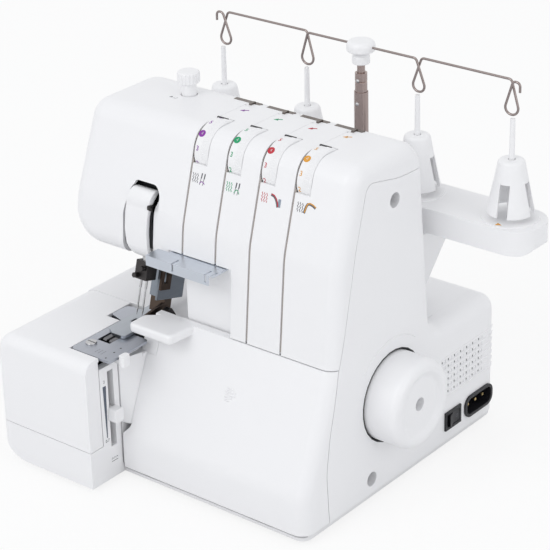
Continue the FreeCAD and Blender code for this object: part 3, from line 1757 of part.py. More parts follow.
# A turned knob with flutes round its grip.
def pressure_knob():
    knob = turned("knob_body", "z", (left(d.knob_across), back(d.knob_setback), up(d.knob_start)), [
        (0, -d.knob_stud_length),
        (d.knob_stud_radius, -d.knob_stud_length),
        (d.knob_stud_radius, 0),
        (d.collar_radius, 0),
        (d.collar_radius, d.collar_height),
        (d.knob_radius, d.collar_height, 1),
        (d.knob_radius, d.collar_height + d.knob_grip, 2),
        (0, d.collar_height + d.knob_grip),
    ])
    sketch = knob.newObject("Sketcher::SketchObject", "knob_flute")
    sketch.AttachmentSupport = [(origin_plane(knob, "XY_Plane"), "")]
    sketch.MapMode = "FlatFace"
    middle = d.knob_radius + d.flute_radius * 0.4
    sketch.addGeometry(Part.Circle(Vector(middle.value, 0, 0), Vector(0, 0, 1), d.flute_radius.value))
    rule = sketch.addConstraint(Sketcher.Constraint("Radius", 0, d.flute_radius.value))
    bind(sketch, f"Constraints[{rule}]", d.flute_radius)
    sketch.addConstraint(Sketcher.Constraint("PointOnObject", 0, 3, -1))
    rule = sketch.addConstraint(Sketcher.Constraint("DistanceX", -1, 1, 0, 3, middle.value))
    bind(sketch, f"Constraints[{rule}]", middle)
    groove = knob.newObject("PartDesign::Pocket", "knob_groove")
    groove.Profile = sketch
    groove.Reversed = True
    bind(groove, "Length", d.collar_height + d.knob_grip + 1)
    ring = knob.newObject("PartDesign::PolarPattern", "knob_grooves")
    ring.Originals = [groove]
    ring.Axis = (sketch, ["N_Axis"])
    ring.Angle = 360
    bind(ring, "Occurrences", d.knob_flutes)
    knob.Tip = ring
    node(knob, "pressure_knob")


def presser_lifter():
    place = (d.lifter_setback, d.lifter_height)
    half = d.lifter_width / 2
    arm = profile("lifter_arm", "YZ", [
        (back(place[0] - 5), up(place[1] - 4)),
        (back(place[0] + 4), up(place[1] + 5)),
        (back(place[0] + 31), up(place[1] - 26), 4),
        (back(place[0] + 31), up(place[1] - 33), 3),
        (back(place[0] + 26), up(place[1] - 35), 3),
        (back(place[0] + 16), up(place[1] - 24)),
    ], left(d.bar_right + half), left(d.bar_right - half))
    hub = rod(
        "lifter_hub", "x", (left(d.bar_right + half), back(place[0]), up(place[1])),
        d.lifter_pin_radius + 4.5, d.lifter_width,
    )
    bore = rod(
        "lifter_bore", "x", (left(d.bar_right + 20), back(place[0]), up(place[1])),
        d.lifter_pin_radius + d.pin_play, 40,
    )
    node(cut("lifter_body", join("lifter_whole", arm, hub), bore), "presser_lifter")


def take_up_lever():
    place = (d.take_up_setback, d.take_up_height)
    start = d.take_up_right + d.take_up_thickness
    blade = profile("take_up_blade", "YZ", [
        (back(place[0] + 5), up(place[1] - 4), 3),
        (back(place[0] + 5), up(place[1] + 4), 3),
        (back(place[0] - 16), up(place[1] + 9)),
        (back(place[0] - 33), up(place[1] + 13), 1.4),
        (back(place[0] - 33), up(place[1] + 9.5), 1.4),
        (back(place[0] - 14), up(place[1] - 3)),
    ], left(start), left(d.take_up_right))
    eye = rod(
        "take_up_eye", "x", (left(start + 2), back(place[0] - 30), up(place[1] + 10.8)), 0.8, 6,
    )
    stub = rod("take_up_stub", "x", (left(start + 9), back(place[0]), up(place[1])), d.lifter_pin_radius, 9)
    node(cut("take_up_body", join("take_up_whole", blade, stub), eye), "take_up_lever")


# sewing plate, feed, knives and loopers


def needle_plate():
    top = up(d.bed_height)
    plate = profile("plate_sheet", "XY", [
        (left(d.plate_right), back(-d.plate_front), 1.5),
        (left(d.plate_left), back(-d.plate_front), 4),
        (left(d.plate_left), back(d.tongue_front)),
        (left(d.tongue_left), back(d.tongue_front + 4), 3),
        (left(d.tongue_left), back(d.plate_rear), 6),
        (left(d.bar_right - 7), back(d.plate_rear), 2),
        (left(d.bar_right - 7), back(24)),
        (left(d.plate_right), back(24), 3),
    ], top - d.plate_thickness, top)

    def window(name, near, far, start, end):
        return block(
            name,
            (left(far), back(start), top - d.plate_thickness * 2),
            (left(near), back(end), top + 1),
        )

    near = d.bar_right - 4
    feed = window("feed_window", near, d.bar_right + 8, 3, 29)
    slot_half = 2.5
    slot = window(
        "needle_window", near, d.bar_right + 4, d.needle_setback - slot_half, d.needle_setback + slot_half,
    )
    spot = (left(plate_screw_right()), back(-4), top - d.plate_thickness * 2)
    hole = rod("plate_screw_hole", "z", spot, d.screw_shank_radius, d.plate_thickness * 3)
    node(cut("plate_body", plate, feed, slot, hole), "needle_plate")
    head = turned("plate_screw_head", "z", (spot[0], spot[1], top), [
        (0, -6),
        (d.screw_shank_radius, -6),
        (d.screw_shank_radius, 0),
        (d.screw_radius, 0),
        (d.screw_radius, 1.4, 0.6),
        (0, 1.4),
    ])
    groove = block(
        "plate_screw_groove",
        (spot[0] - d.screw_radius - 1, spot[1] - 0.5, top + 0.6),
        (spot[0] + d.screw_radius + 1, spot[1] + 0.5, top + 3),
    )
    node(cut("plate_screw_body", head, groove), "needle_plate_screw")


def plate_screw_right():
    return d.plate_left - 7.5


# One bracket stands on the block's floor. It carries the sewing plate, the feed rail and the looper bearings.
def lower_bracket():
    foot = d.wall
    shelf = d.bed_height - d.plate_thickness
    post = d.tongue_left - 5
    post_along = (40, 57)
    bearing_front = 54
    bearing_rear = 61.5
    bearing_across = (192, 144)
    bearing_rise = (d.pan_thickness, d.lower_looper_height + 12)
    rail_along = (4, 30)
    pieces = [
        frame_block("bracket_post", (d.tongue_left, post), post_along, (foot, shelf)),
        frame_block("bracket_wing", (d.tongue_left, post), (rail_along[0], 41), (foot, feed_floor() + 4)),
        frame_block("bracket_shelf", (post, d.plate_left - 1), post_along, (shelf - d.wall, shelf)),
        frame_block("bracket_rail", (post, post - 10), rail_along, (feed_floor() - 4, feed_floor() - 0.1)),
        frame_block("bracket_tie", (post, bearing_across[0]), (bearing_front, 57), (foot, foot + 10)),
        frame_block("bracket_bearings", bearing_across, (bearing_front, bearing_rear), bearing_rise),
    ]
    whole = join("bracket_whole", *pieces)
    bores = []
    for name, across, height in looper_places():
        spot = (left(across), back(50), up(height))
        bores.append(rod(f"{name}_bore", "y", spot, d.looper_shaft_radius + d.shaft_play, 20))
    node(cut("bracket_body", whole, *bores), "lower_bracket")


def looper_places():
    return [
        ("lower", d.lower_looper_right, d.lower_looper_height),
        ("upper", d.upper_looper_right, d.upper_looper_height),
    ]


def feed_floor():
    return d.bed_height - 14


def feed_dog():
    low = d.bed_height - 8
    bar = d.bar_right
    start = 7
    teeth = 8
    pitch = 1.9
    pieces = [
        frame_block("feed_carrier", (bar + 7, bar - 3), (start, start + teeth * pitch), (low - 4, low)),
        frame_block("feed_arm", (bar + 21, bar + 7), (start + 2, start + 12), (feed_floor(), low - 1)),
        frame_block("feed_link", (bar + 7, bar - 1), (start + 2, start + 12), (feed_floor() + 1, low - 3)),
    ]
    for number, across in enumerate((bar + 6.5, bar + 0.5)):
        corners = [(back(start), up(low))]
        for tooth in range(teeth):
            corners.append((back(start + tooth * pitch), up(d.bed_height - 1.4)))
            corners.append((back(start + (tooth + 0.85) * pitch), up(d.bed_height - 0.2)))
        corners.append((back(start + teeth * pitch), up(low)))
        pieces.append(profile(f"feed_teeth_{number}", "YZ", corners, left(across), left(across - 3.4)))
    node(join("feed_body", *pieces), "feed_dog")


def knives():
    face = d.knife_right
    thick = d.knife_thickness
    top = d.bed_height
    blade = profile("knife_blade", "YZ", [
        (back(28), up(top - 1)),
        (back(50), up(top - 1)),
        (back(50), up(top + 8)),
        (back(35), up(top + 10), 2),
        (back(28), up(top + 5)),
    ], left(face + thick), left(face))
    node(blade, "upper_knife")
    holder = profile("knife_holder", "YZ", [
        (back(45), up(top + 5)),
        (back(45), up(top + 9), 2),
        (back(55), up(top + 13), 3),
        (back(61.5), up(top + 2), 3),
        (back(61.5), up(top - 16)),
        (back(53), up(top - 16)),
        (back(53), up(top - 4)),
    ], left(face), left(face - 4.5))
    screws = []
    for number, (setback, height) in enumerate(((54.5, top + 6.5), (57.3, top - 5))):
        place = (left(face - 4.5), back(setback), up(height))
        screws.append(rod(f"knife_screw_{number}", "x", place, 2.6, 1.8))
    node(join("knife_holder_body", holder, *screws), "upper_knife_holder")
    side = d.bar_right - 7
    fixed = profile("lower_knife_form", "XZ", [
        (left(side + 2), up(top - 7)),
        (left(face + thick + 0.3), up(top - 7)),
        (left(face + thick + 0.3), up(top - 0.2)),
        (left(side - 0.6), up(top - 0.2)),
        (left(side - 0.6), up(top - d.plate_thickness)),
        (left(side + 2), up(top - d.plate_thickness)),
    ], back(26), back(44))
    node(fixed, "lower_knife")


def loopers():
    arms = {
        "lower": ([(4, 0), (4, 42), (18, 52, 1), (18, 54, 0.6), (-2, 48, 4), (-4, 42), (-4, 0)], 38),
        "upper": ([(4, 0), (8, 36), (22, 52, 1), (23, 54, 0.4), (3, 40, 4), (-4, 0)], 27),
    }
    for name, across, height in looper_places():
        shape, start = arms[name]
        corners = [(left(across + spot[0]), up(height + spot[1]), *spot[2:]) for spot in shape]
        arm = profile(f"{name}_arm", "XZ", corners, back(start), back(start + 4))
        hub = rod(f"{name}_hub", "y", (left(across), back(start), up(height)), d.looper_shaft_radius + 2.5, 6)
        shaft = rod(
            f"{name}_shaft", "y", (left(across), back(start), up(height)),
            d.looper_shaft_radius, 61 - start,
        )
        node(join(f"{name}_looper_body", arm, hub, shaft), f"{name}_looper")


def stitch_finger_lever():
    low = d.bed_height - d.plate_thickness
    knob = profile("finger_knob", "XY", [
        (left(d.plate_right - 0.6), back(-10), 2),
        (left(d.plate_right - 6), back(-10), 2),
        (left(d.plate_right - 6), back(-2), 2),
        (left(d.plate_right - 0.6), back(-2), 2),
    ], up(low - 5), up(d.bed_height + 1.5))
    stem = block(
        "finger_stem",
        (left(d.plate_right + 12), back(-8.5), up(low - 4)),
        (left(d.plate_right - 2), back(-3.5), up(low - 0.3)),
    )
    node(join("finger_body", knob, stem), "stitch_finger_lever")


def differential_slider():
    middle = (-d.slider_setback, d.slider_rest)
    corners = []
    for across, along in ((-1, -1), (1, -1), (1, 1), (-1, 1)):
        corners.append((back(middle[0] + 4.5 * across), up(middle[1] + 5.5 * along), 2))
    knob = profile("slider_knob", "YZ", corners, left(block_right() - 0.3), left(block_right() - 7))

    def slab(name, start, end, half, rise):
        return block(
            name,
            (left(block_right() + start), back(middle[0]) - half, up(middle[1]) - rise),
            (left(block_right() + end), back(middle[0]) + half, up(middle[1]) + rise),
        )

    play = 0.3
    behind = d.panel_thickness + play
    stem = slab("slider_stem", d.panel_thickness + 1, -1, d.slider_slot / 2 - play, as_size(4))
    flange = slab("slider_flange", behind + 3.2, behind, d.slider_slot, as_size(6))
    node(join("slider_body", knob, stem, flange), "differential_slider")


# spool stand, telescopic mast and thread tree


def stand_middle():
    return (left(d.mast_right), back(d.stand_setback + d.stand_depth / 2))


def pin_places():
    return [-d.pin_far, -d.pin_near, d.pin_near, d.pin_far]


def spool_stand():
    middle = stand_middle()[0]
    half = d.tray_length / 2
    under = up(d.stand_top - d.stand_thickness)
    foot = up(d.hump_height)
    front = profile("stand_front", "XZ", [
        (middle + half, up(d.stand_top)),
        (middle + half, under, 8),
        (middle + d.neck_half, under, 10),
        (middle + d.neck_foot_half, foot),
        (middle - d.neck_foot_half, foot),
        (middle - d.neck_half, under, 10),
        (middle - half, under, 8),
        (middle - half, up(d.stand_top)),
    ], back(d.stand_setback), back(d.stand_setback + d.stand_depth))
    plan = profile("stand_plan", "XY", [
        (middle + half, back(d.stand_setback), 20),
        (middle + half, back(d.stand_setback + d.stand_depth), 20),
        (middle - half, back(d.stand_setback + d.stand_depth), 20),
        (middle - half, back(d.stand_setback), 20),
    ], up(d.hump_height - 1), up(d.stand_top + 1))
    pieces = [common("stand_tray", front, plan)]
    for number, place in enumerate(pin_places()):
        spot = (middle + place, stand_middle()[1], up(d.stand_top))
        pieces.append(rod(f"cone_seat_{number}", "z", spot, d.cone_seat_radius, d.cone_seat_height))
    form = join("stand_form", *pieces)
    mast = rod(
        "mast_hole", "z", (*stand_middle(), up(d.mast_foot)), d.mast_radius, d.stand_top - d.mast_foot + 1,
    )
    pins = []
    for number, place in enumerate(pin_places()):
        spot = (middle + place, stand_middle()[1], up(d.stand_top - d.spool_pin_root))
        long = d.spool_pin_height + d.spool_pin_root
        pins.append(taper(f"spool_pin_{number}", spot, d.spool_pin_radius, d.spool_pin_tip, long))
    pin_set = node(group("spool_pin_set", *pins), "spool_pins")
    relief = block(
        "stand_relief",
        (middle - half, back(d.stand_setback - 1), up(d.hump_height - 1)),
        (middle + half, back(d.column_depth + d.hump_fillet + 1), up(d.hump_height + d.hump_fillet / 3)),
    )
    node(cut("stand_body", form, mast, pin_set, relief), "spool_stand")


def cone_holders():
    holders = []
    wall = d.cone_wall
    bore = d.spool_pin_radius
    turn = math.radians(d.cone_turn.value)
    long = d.cone_base_radius * 1.2
    half = d.cone_slot_width / 2
    for number, place in enumerate(pin_places()):
        spot = (stand_middle()[0] + place, stand_middle()[1], up(d.stand_top + d.cone_seat_height))
        shell = turned(f"cone_{number}", "z", spot, [
            (d.cone_base_radius - wall * 1.2, 0),
            (d.cone_base_radius, 0),
            (d.cone_base_radius, wall),
            (d.cone_top_radius, d.cone_height, 3),
            (bore, d.cone_height),
            (bore, d.cone_height - wall),
            (d.cone_top_radius - wall, d.cone_height - wall),
        ])
        slots = []
        for side in range(2):
            angle = turn + side * math.pi / 2
            corners = []
            for across, along in ((-1, -1), (1, -1), (1, 1), (-1, 1)):
                wide = half * across
                deep = long * along
                corners.append((
                    spot[0] + wide * math.cos(angle) - deep * math.sin(angle),
                    spot[1] + wide * math.sin(angle) + deep * math.cos(angle),
                ))
            low = up(d.stand_top)
            slots.append(profile(f"cone_slot_{number}_{side}", "XY", corners, low, low + d.cone_slot_height))
        holders.append(cut(f"cone_holder_{number}", shell, *slots))
    node(group("cone_set", *holders), "cone_holders")


def mast():
    place = (*stand_middle(), up(0))
    inside = d.mast_radius - d.tube_wall
    middle = inside - d.tube_play
    core = middle - d.middle_wall
    foot = d.mast_foot
    top = d.mast_top
    node(turned("base_tube", "z", place, [
        (0, foot),
        (d.mast_radius, foot),
        (d.mast_radius, top),
        (inside, top),
        (inside, foot + 2),
        (0, foot + 2),
    ]), "mast_base_tube")
    ring = d.tube_wall
    node(turned("middle_tube", "z", place, [
        (core, foot + 8),
        (middle, foot + 8),
        (middle, top + d.middle_show * 0.5),
        (middle - ring, top + d.middle_show * 0.5 + ring),
        (middle, top + d.middle_show * 0.5 + ring * 2),
        (middle, top + d.middle_show),
        (core, top + d.middle_show),
    ]), "mast_middle_tube")
    cap_low = top + d.middle_show + d.rod_show
    node(turned("top_rod", "z", place, [
        (0, foot + 16),
        (core - d.tube_play, foot + 16),
        (core - d.tube_play, cap_low + 6.8),
        (0, cap_low + 6.8),
    ]), "mast_top_rod")
    cap = turned("cap_form", "z", (*stand_middle(), up(cap_low)), [
        (core, 0),
        (d.cap_collar_radius, 0, 0.8),
        (d.cap_collar_radius, 5.5, 0.8),
        (core + 1.4, 8),
        (d.cap_radius, 9.6, 1.6),
        (d.cap_radius, d.cap_height, 4),
        (0, d.cap_height),
        (0, 7),
        (core, 7),
    ])
    side = d.cap_radius * 2
    hole = rod(
        "cap_wire_hole", "x", (stand_middle()[0] - side, stand_middle()[1], up(d.tree_height)),
        d.wire_radius, side * 2,
    )
    node(cut("cap_body", cap, hole), "mast_cap")


# A path of straight runs with each corner rounded to its own radius.
def rounded_path(points, radii):
    edges = []
    last = points[0]
    for before, corner, after, radius in zip(points, points[1:], points[2:], radii):
        into = (corner - before).normalize()
        out = (after - corner).normalize()
        half_turn = into.getAngle(out) / 2
        reach = radius * math.tan(half_turn)
        start = corner - into * reach
        end = corner + out * reach
        inward = (out - into).normalize()
        bulge = corner + inward * (radius / math.cos(half_turn) - radius)
        edges.append(Part.LineSegment(last, start).toShape())
        edges.append(Part.Arc(start, bulge, end).toShape())
        last = end
    edges.append(Part.LineSegment(last, points[-1]).toShape())
    return Part.Wire(edges)


# One wire bent into four eyelets, each loop passing beside its own start.
def thread_tree():
    middle = [as_size(part).value for part in (*stand_middle(), up(d.tree_height))]
    step = (d.wire_radius * 3.1).value
    wide = d.eye_width.value / 2 + 1
    drop = d.eye_drop.value
    bend = 3.0
    bow = wide * 0.7
    reach = d.hook_reach.value
    places = [place.value for place in (-d.eye_far, -d.pin_near, d.pin_near, d.eye_far)]
    spots = [(places[0] - reach, 0, -d.hook_drop.value), (places[0] - reach, 0, 0)]
    radii = [bend]
    for number, place in enumerate(places):
        first, second = (0, step) if number % 2 == 0 else (step, 0)
        spots += [
            (place - 1.5, first, 0),
            (place + wide, step / 2, -drop),
            (place - wide, step / 2, -drop),
            (place + 1.5, second, 0),
        ]
        radii += [bend, bow, bow, bend]
    spots += [(places[-1] + reach, 0, 0), (places[-1] + reach, 0, -d.hook_drop.value)]
    radii.append(bend)
    points = [Vector(*spot) for spot in spots]
    path = rounded_path(points, radii)
    ring = Part.Wire(Part.makeCircle(d.wire_radius.value, points[0], Vector(0, 0, 1)))
    tube = path.makePipeShell([ring], True, False)
    tree = doc.addObject("Part::Feature", "tree_wire")
    tree.Shape = tube
    move(tree, (*stand_middle(), up(d.tree_height)))
    node(tree, "thread_tree")
    down = (points[3] - points[2]).normalize()
    rise = (points[5] - points[4]).normalize()
    apart = abs((points[4] - points[2]).dot(down.cross(rise).normalize()))
    print("eyelet runs pass with a gap of", round(apart - 2 * d.wire_radius.value, 2), "mm")


def build():
    outer = casing("casing_outer", as_size(0))
    inner = casing("casing_inner", d.wall)
    upper_cover(outer, inner)
    rear_cover(outer, inner)
    right_cover(outer, inner)
    block_outer = block_form("block_outer", as_size(0))
    block_inner = block_form("block_inner", d.wall)
    left_base(block_outer, block_inner)
    cloth_plate(block_outer, block_inner)
    for make in (
        bed_cover, base_pan, rubber_feet, looper_cover,
        top_thread_guides, needle_thread_guide, tension_dials, tension_discs, take_up_cover,
        frame_casting, drive, motor, drive_belt, power_switch, inlet, case_screws,
        needle_bar, presser_bar, pressure_knob, presser_lifter, take_up_lever,
        needle_plate, lower_bracket, feed_dog, knives, loopers, stitch_finger_lever, differential_slider,
        spool_stand, cone_holders, mast, thread_tree,
    ):
        make()


build()
doc.recompute()

faults = [f"{item.Name} {item.State}" for item in doc.Objects if {"Invalid", "Error"} & set(item.State)]
for thing in nodes:
    if thing.Shape.isNull() or not thing.Shape.isValid():
        faults.append(f"{thing.Label} has no sound shape")
if faults:
    raise RuntimeError("; ".join(faults))

os.makedirs("parts", exist_ok=True)
for thing in nodes:
    thing.Shape.exportStep(f"parts/{thing.Label}.step")
print(len(nodes), "parts written")
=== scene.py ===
import bmesh
import bpy
import json
import math
from mathutils import Matrix, Vector
from mathutils.bvhtree import BVHTree

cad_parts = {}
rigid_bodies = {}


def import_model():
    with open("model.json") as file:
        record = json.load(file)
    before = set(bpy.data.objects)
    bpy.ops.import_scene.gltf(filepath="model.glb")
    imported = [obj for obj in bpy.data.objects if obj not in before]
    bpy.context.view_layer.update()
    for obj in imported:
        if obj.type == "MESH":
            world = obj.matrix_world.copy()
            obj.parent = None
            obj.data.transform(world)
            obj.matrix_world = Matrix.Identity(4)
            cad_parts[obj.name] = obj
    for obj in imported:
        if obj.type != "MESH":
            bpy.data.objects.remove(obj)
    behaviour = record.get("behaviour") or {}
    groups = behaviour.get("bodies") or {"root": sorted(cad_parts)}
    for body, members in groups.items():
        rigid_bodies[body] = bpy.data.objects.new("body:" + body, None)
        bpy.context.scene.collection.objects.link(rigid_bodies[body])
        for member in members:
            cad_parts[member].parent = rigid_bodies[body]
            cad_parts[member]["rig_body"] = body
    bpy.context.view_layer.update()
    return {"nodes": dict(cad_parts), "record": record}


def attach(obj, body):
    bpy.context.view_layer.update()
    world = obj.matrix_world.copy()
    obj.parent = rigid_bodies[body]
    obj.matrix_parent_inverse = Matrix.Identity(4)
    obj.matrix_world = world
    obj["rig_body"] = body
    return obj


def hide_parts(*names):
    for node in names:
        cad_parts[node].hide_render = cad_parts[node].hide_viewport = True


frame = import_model()
nodes = frame["nodes"]
slotOf = {row["node"]: row["material_slot"] for row in frame["record"]["subparts"]}
mm = 0.001
datum = (94.6, -102.8, 4.0)  # the right face, the base's front and the pan's underside
toRight = Vector((1.0, 0.0, 0.0))
toRear = Vector((0.0, 1.0, 0.0))
upward = Vector((0.0, 0.0, 1.0))
finishes = {}
markSlot = "white_trim"


# A point of the frame from millimetres measured at the datum.
def spot(x, y, z):
    return Vector((x + datum[0], y + datum[1], z + datum[2])) * mm


# A point of the frame in those millimetres.
def measured(place):
    return tuple(part / mm - start for part, start in zip(place, datum))


# A shader socket that can stand in a sum.
class Wire:
    def __init__(self, finish, socket):
        self.finish = finish
        self.socket = socket

    def __add__(self, other):
        return self.finish.maths("ADD", self, other)

    def __radd__(self, other):
        return self.finish.maths("ADD", other, self)

    def __mul__(self, other):
        return self.finish.maths("MULTIPLY", self, other)

    def __rmul__(self, other):
        return self.finish.maths("MULTIPLY", other, self)


# One node tree, of a material or of the world.
class Finish:
    def __init__(self, owner):
        owner.use_nodes = True
        self.owner = owner
        self.tree = owner.node_tree

    def node(self, kind, settings, sockets, out=0):
        made = self.tree.nodes.new("ShaderNode" + kind)
        for name, value in settings.items():
            setattr(made, name, value)
        for name, value in sockets.items():
            self.feed(made.inputs[name], value)
        if made.outputs:
            return Wire(self, made.outputs[out])

    def feed(self, socket, value):
        if isinstance(value, Wire):
            self.tree.links.new(value.socket, socket)
        else:
            socket.default_value = value

    def maths(self, operation, first, second):
        return self.node("Math", {"operation": operation}, {0: first, 1: second})

    def coat(self, **values):
        for name, value in values.items():
            self.feed(self.tree.nodes["Principled BSDF"].inputs[name.replace("_", " ")], value)

    def noise(self, scale, detail, stretch=(1.0, 1.0, 1.0)):
        where = self.node("TexCoord", {}, {}, "Object")
        turned = self.node("Mapping", {}, {"Vector": where, "Scale": stretch})
        return self.node("TexNoise", {}, {"Vector": turned, "Scale": scale, "Detail": detail}, "Fac")

    def tint(self, share, first, second):
        return self.node("Mix", {"data_type": "RGBA"}, {0: share, 6: first, 7: second}, 2)

    def bump(self, height, strength, depth):
        sockets = {"Height": height, "Strength": strength, "Distance": depth * mm}
        return self.node("Bump", {}, sockets, "Normal")


def newFinish(name):
    finish = Finish(bpy.data.materials.new(name))
    finishes[name] = finish.owner
    return finish


# A colour scaled by a share, with its alpha.
def shade(colour, share=1.0):
    return (*(min(1.0, part * share) for part in colour), 1.0)


def grey(level):
    return (level, level, level, 1.0)


plasticLook = {
    "drift": 9.0, "grain": 1900.0, "low": 0.97, "smooth": 0.04, "driftRough": 0.05, "grainRough": 0.04,
    "depth": 0.03,
}


# Moulded plastic: a soft tone drift, a fine spark-eroded grain and an uneven sheen.
def plastic(name, colour, rough, grain):
    look = plasticLook
    finish = newFinish(name)
    drift = finish.noise(look["drift"], 3.0)
    fine = finish.noise(look["grain"], 2.0)
    finish.coat(
        Base_Color=finish.tint(drift, shade(colour, look["low"]), shade(colour)),
        Roughness=rough - look["smooth"] + look["driftRough"] * drift + look["grainRough"] * fine,
        Normal=finish.bump(fine, grain, look["depth"]),
    )


metalLook = {
    "streaks": 420.0, "drift": 30.0, "smooth": 0.05, "streakRough": 0.08, "driftRough": 0.05, "bump": 0.12,
    "depth": 0.02,
}


# Rolled or ground metal: streaks along one way, uneven sheen and a darker tone in the streaks.
def metal(name, colour, rough, stretch, streak=0.12):
    look = metalLook
    finish = newFinish(name)
    streaks = finish.noise(look["streaks"], 3.0, stretch)
    drift = finish.noise(look["drift"], 2.0)
    finish.coat(
        Base_Color=finish.tint(streaks, shade(colour, 1.0 - streak), shade(colour)),
        Metallic=1.0,
        Roughness=rough - look["smooth"] + look["streakRough"] * streaks + look["driftRough"] * drift,
        Normal=finish.bump(streaks, look["bump"], look["depth"]),
    )


castLook = {"pits": 700.0, "drift": 40.0, "low": 0.82, "pitRough": 0.12, "bump": 0.3, "depth": 0.08}


# Cast metal: a coarse skin with small pits.
def casting(name, colour, rough, metallic):
    look = castLook
    finish = newFinish(name)
    pits = finish.noise(look["pits"], 4.0)
    drift = finish.noise(look["drift"], 2.0)
    finish.coat(
        Base_Color=finish.tint(drift, shade(colour, look["low"]), shade(colour)),
        Metallic=metallic,
        Roughness=rough + look["pitRough"] * pits,
        Normal=finish.bump(pits, look["bump"], look["depth"]),
    )


rubberLook = {"dust": 60.0, "grain": 1500.0, "high": 1.5, "dustRough": 0.1, "bump": 0.25, "depth": 0.04}


# Rubber: matt, dusty in places, with a fine grain.
def rubber(name, colour, rough):
    look = rubberLook
    finish = newFinish(name)
    dust = finish.noise(look["dust"], 4.0)
    grain = finish.noise(look["grain"], 2.0)
    finish.coat(
        Base_Color=finish.tint(dust, shade(colour), shade(colour, look["high"])),
        Roughness=rough + look["dustRough"] * dust,
        Normal=finish.bump(grain, look["bump"], look["depth"]),
    )


# The pure black and the two brown-greys in this table are painted shade for slots, gaps, holes and recesses,
# not ink.
inkLook = {
    "ink_purple": (0.25, 0.03, 0.36), "ink_green": (0.0, 0.35, 0.14), "ink_red": (0.55, 0.02, 0.04),
    "ink_orange": (0.78, 0.36, 0.04), "ink_grey": (0.12, 0.12, 0.14), "ink_slate": (0.10, 0.12, 0.16),
    "ink_white": (0.9, 0.9, 0.9), "ink_black": (0.01, 0.01, 0.012), "slot_felt": (0.42, 0.38, 0.355),
    "dial_felt": (0.22, 0.19, 0.175), "ink_steel": (0.27, 0.32, 0.40),
}
inkGrain = {"blotches": 900.0, "low": 0.86, "rough": 0.42, "blotchRough": 0.1}


# Printing ink, and the dark colours of painted shade, each a little uneven.
def ink(name, colour):
    look = inkGrain
    finish = newFinish(name)
    blotches = finish.noise(look["blotches"], 3.0)
    finish.coat(
        Base_Color=finish.tint(blotches, shade(colour, look["low"]), shade(colour)),
        Roughness=look["rough"] + look["blotchRough"] * blotches,
    )


brownedLook = {
    "streaks": 500.0, "stretch": (1.0, 0.1, 1.0), "low": 0.85, "rough": 0.28, "streakRough": 0.1,
    "brownRough": 0.06, "bump": 0.12, "depth": 0.02,
}


# Sheet steel with one part of the piece browned, told apart by its place.
def browned(name, colour, brown, axis, edge):
    look = brownedLook
    finish = newFinish(name)
    where = finish.node("TexCoord", {}, {}, "Object")
    place = finish.node("SeparateXYZ", {}, {"Vector": where}, axis)
    beyond = finish.maths("GREATER_THAN", place, edge)
    streaks = finish.noise(look["streaks"], 3.0, look["stretch"])
    plain = finish.tint(streaks, shade(colour, look["low"]), shade(colour))
    finish.coat(
        Base_Color=finish.tint(beyond, plain, shade(brown)),
        Metallic=1.0,
        Roughness=look["rough"] + look["streakRough"] * streaks + look["brownRough"] * beyond,
        Normal=finish.bump(streaks, look["bump"], look["depth"]),
    )


finishOf = {
    "presser_foot_holder": "holder_steel", "presser_foot": "foot_steel", "needle_clamp": "burnt_steel",
    "upper_knife_holder": "burnt_steel", "take_up_lever": "burnt_steel",
    "needle_thread_guide": "guide_sheet", "top_thread_guides": "guide_bronze",
}


def makeFinishes():
    plastic("white_shell", (0.88, 0.88, 0.892), 0.36, 0.10)
    plastic("white_trim", (0.88, 0.88, 0.89), 0.32, 0.05)
    plastic("grey_pan", (0.80, 0.80, 0.81), 0.5, 0.2)
    plastic("black_plastic", (0.012, 0.012, 0.015), 0.38, 0.12)
    rubber("foot_rubber", (0.05, 0.05, 0.052), 0.75)
    rubber("belt_rubber", (0.02, 0.02, 0.021), 0.7)
    metal("plate_steel", (0.45, 0.47, 0.52), 0.33, (1.0, 0.06, 1.0))
    metal("dark_steel", (0.18, 0.18, 0.19), 0.36, (1.0, 1.0, 0.1))
    metal("bright_steel", (0.55, 0.55, 0.56), 0.22, (1.0, 1.0, 0.08))
    metal("mast_chrome", (0.42, 0.34, 0.32), 0.24, (1.0, 1.0, 0.03))
    metal("wire_steel", (0.34, 0.29, 0.28), 0.2, (0.3, 1.0, 1.0))
    casting("frame_alloy", (0.46, 0.47, 0.48), 0.42, 1.0)
    casting("bush_bronze", (0.5, 0.33, 0.16), 0.35, 1.0)
    casting("motor_paint", (0.09, 0.10, 0.11), 0.45, 0.0)
    metal("pin_brass", (0.62, 0.47, 0.22), 0.25, (0.1, 1.0, 1.0))
    browned("holder_steel", (0.27, 0.30, 0.34), (0.085, 0.06, 0.048), "X", spot(-174.4, 0.0, 0.0).x)
    browned("foot_steel", (0.46, 0.49, 0.53), (0.10, 0.075, 0.06), "Z", spot(0.0, 0.0, 105.4).z)
    metal("guide_sheet", (0.66, 0.70, 0.76), 0.3, (0.02, 1.0, 1.0), 0.05)
    metal("rating_sheet", (0.62, 0.63, 0.65), 0.38, (0.05, 1.0, 1.0), 0.08)
    metal("guide_bronze", (0.20, 0.175, 0.16), 0.28, (0.1, 1.0, 1.0))
    metal("burnt_steel", (0.075, 0.07, 0.07), 0.38, (1.0, 1.0, 0.2))
    for name, colour in inkLook.items():
        ink(name, colour)
    print("finishes made", len(finishes))


surfaces = {}


# The node's own surface, for laying marks and fitting pieces on it.
def surfaceOf(name):
    if name not in surfaces:
        work = bmesh.new()
        work.from_mesh(nodes[name].data)
        surfaces[name] = BVHTree.FromBMesh(work)
        work.free()
    return surfaces[name]


# The value at a height in rows of height and value.
def valueAt(rows, height):
    for (low, first), (high, second) in zip(rows, rows[1:]):
        if height <= high:
            share = max(0.0, (height - low) / (high - low))
            return first + (second - first) * share
    return rows[-1][1]


# Evenly spaced values from one to another.
def spread(first, last, steps):
    return [first + (last - first) * step / steps for step in range(steps + 1)]


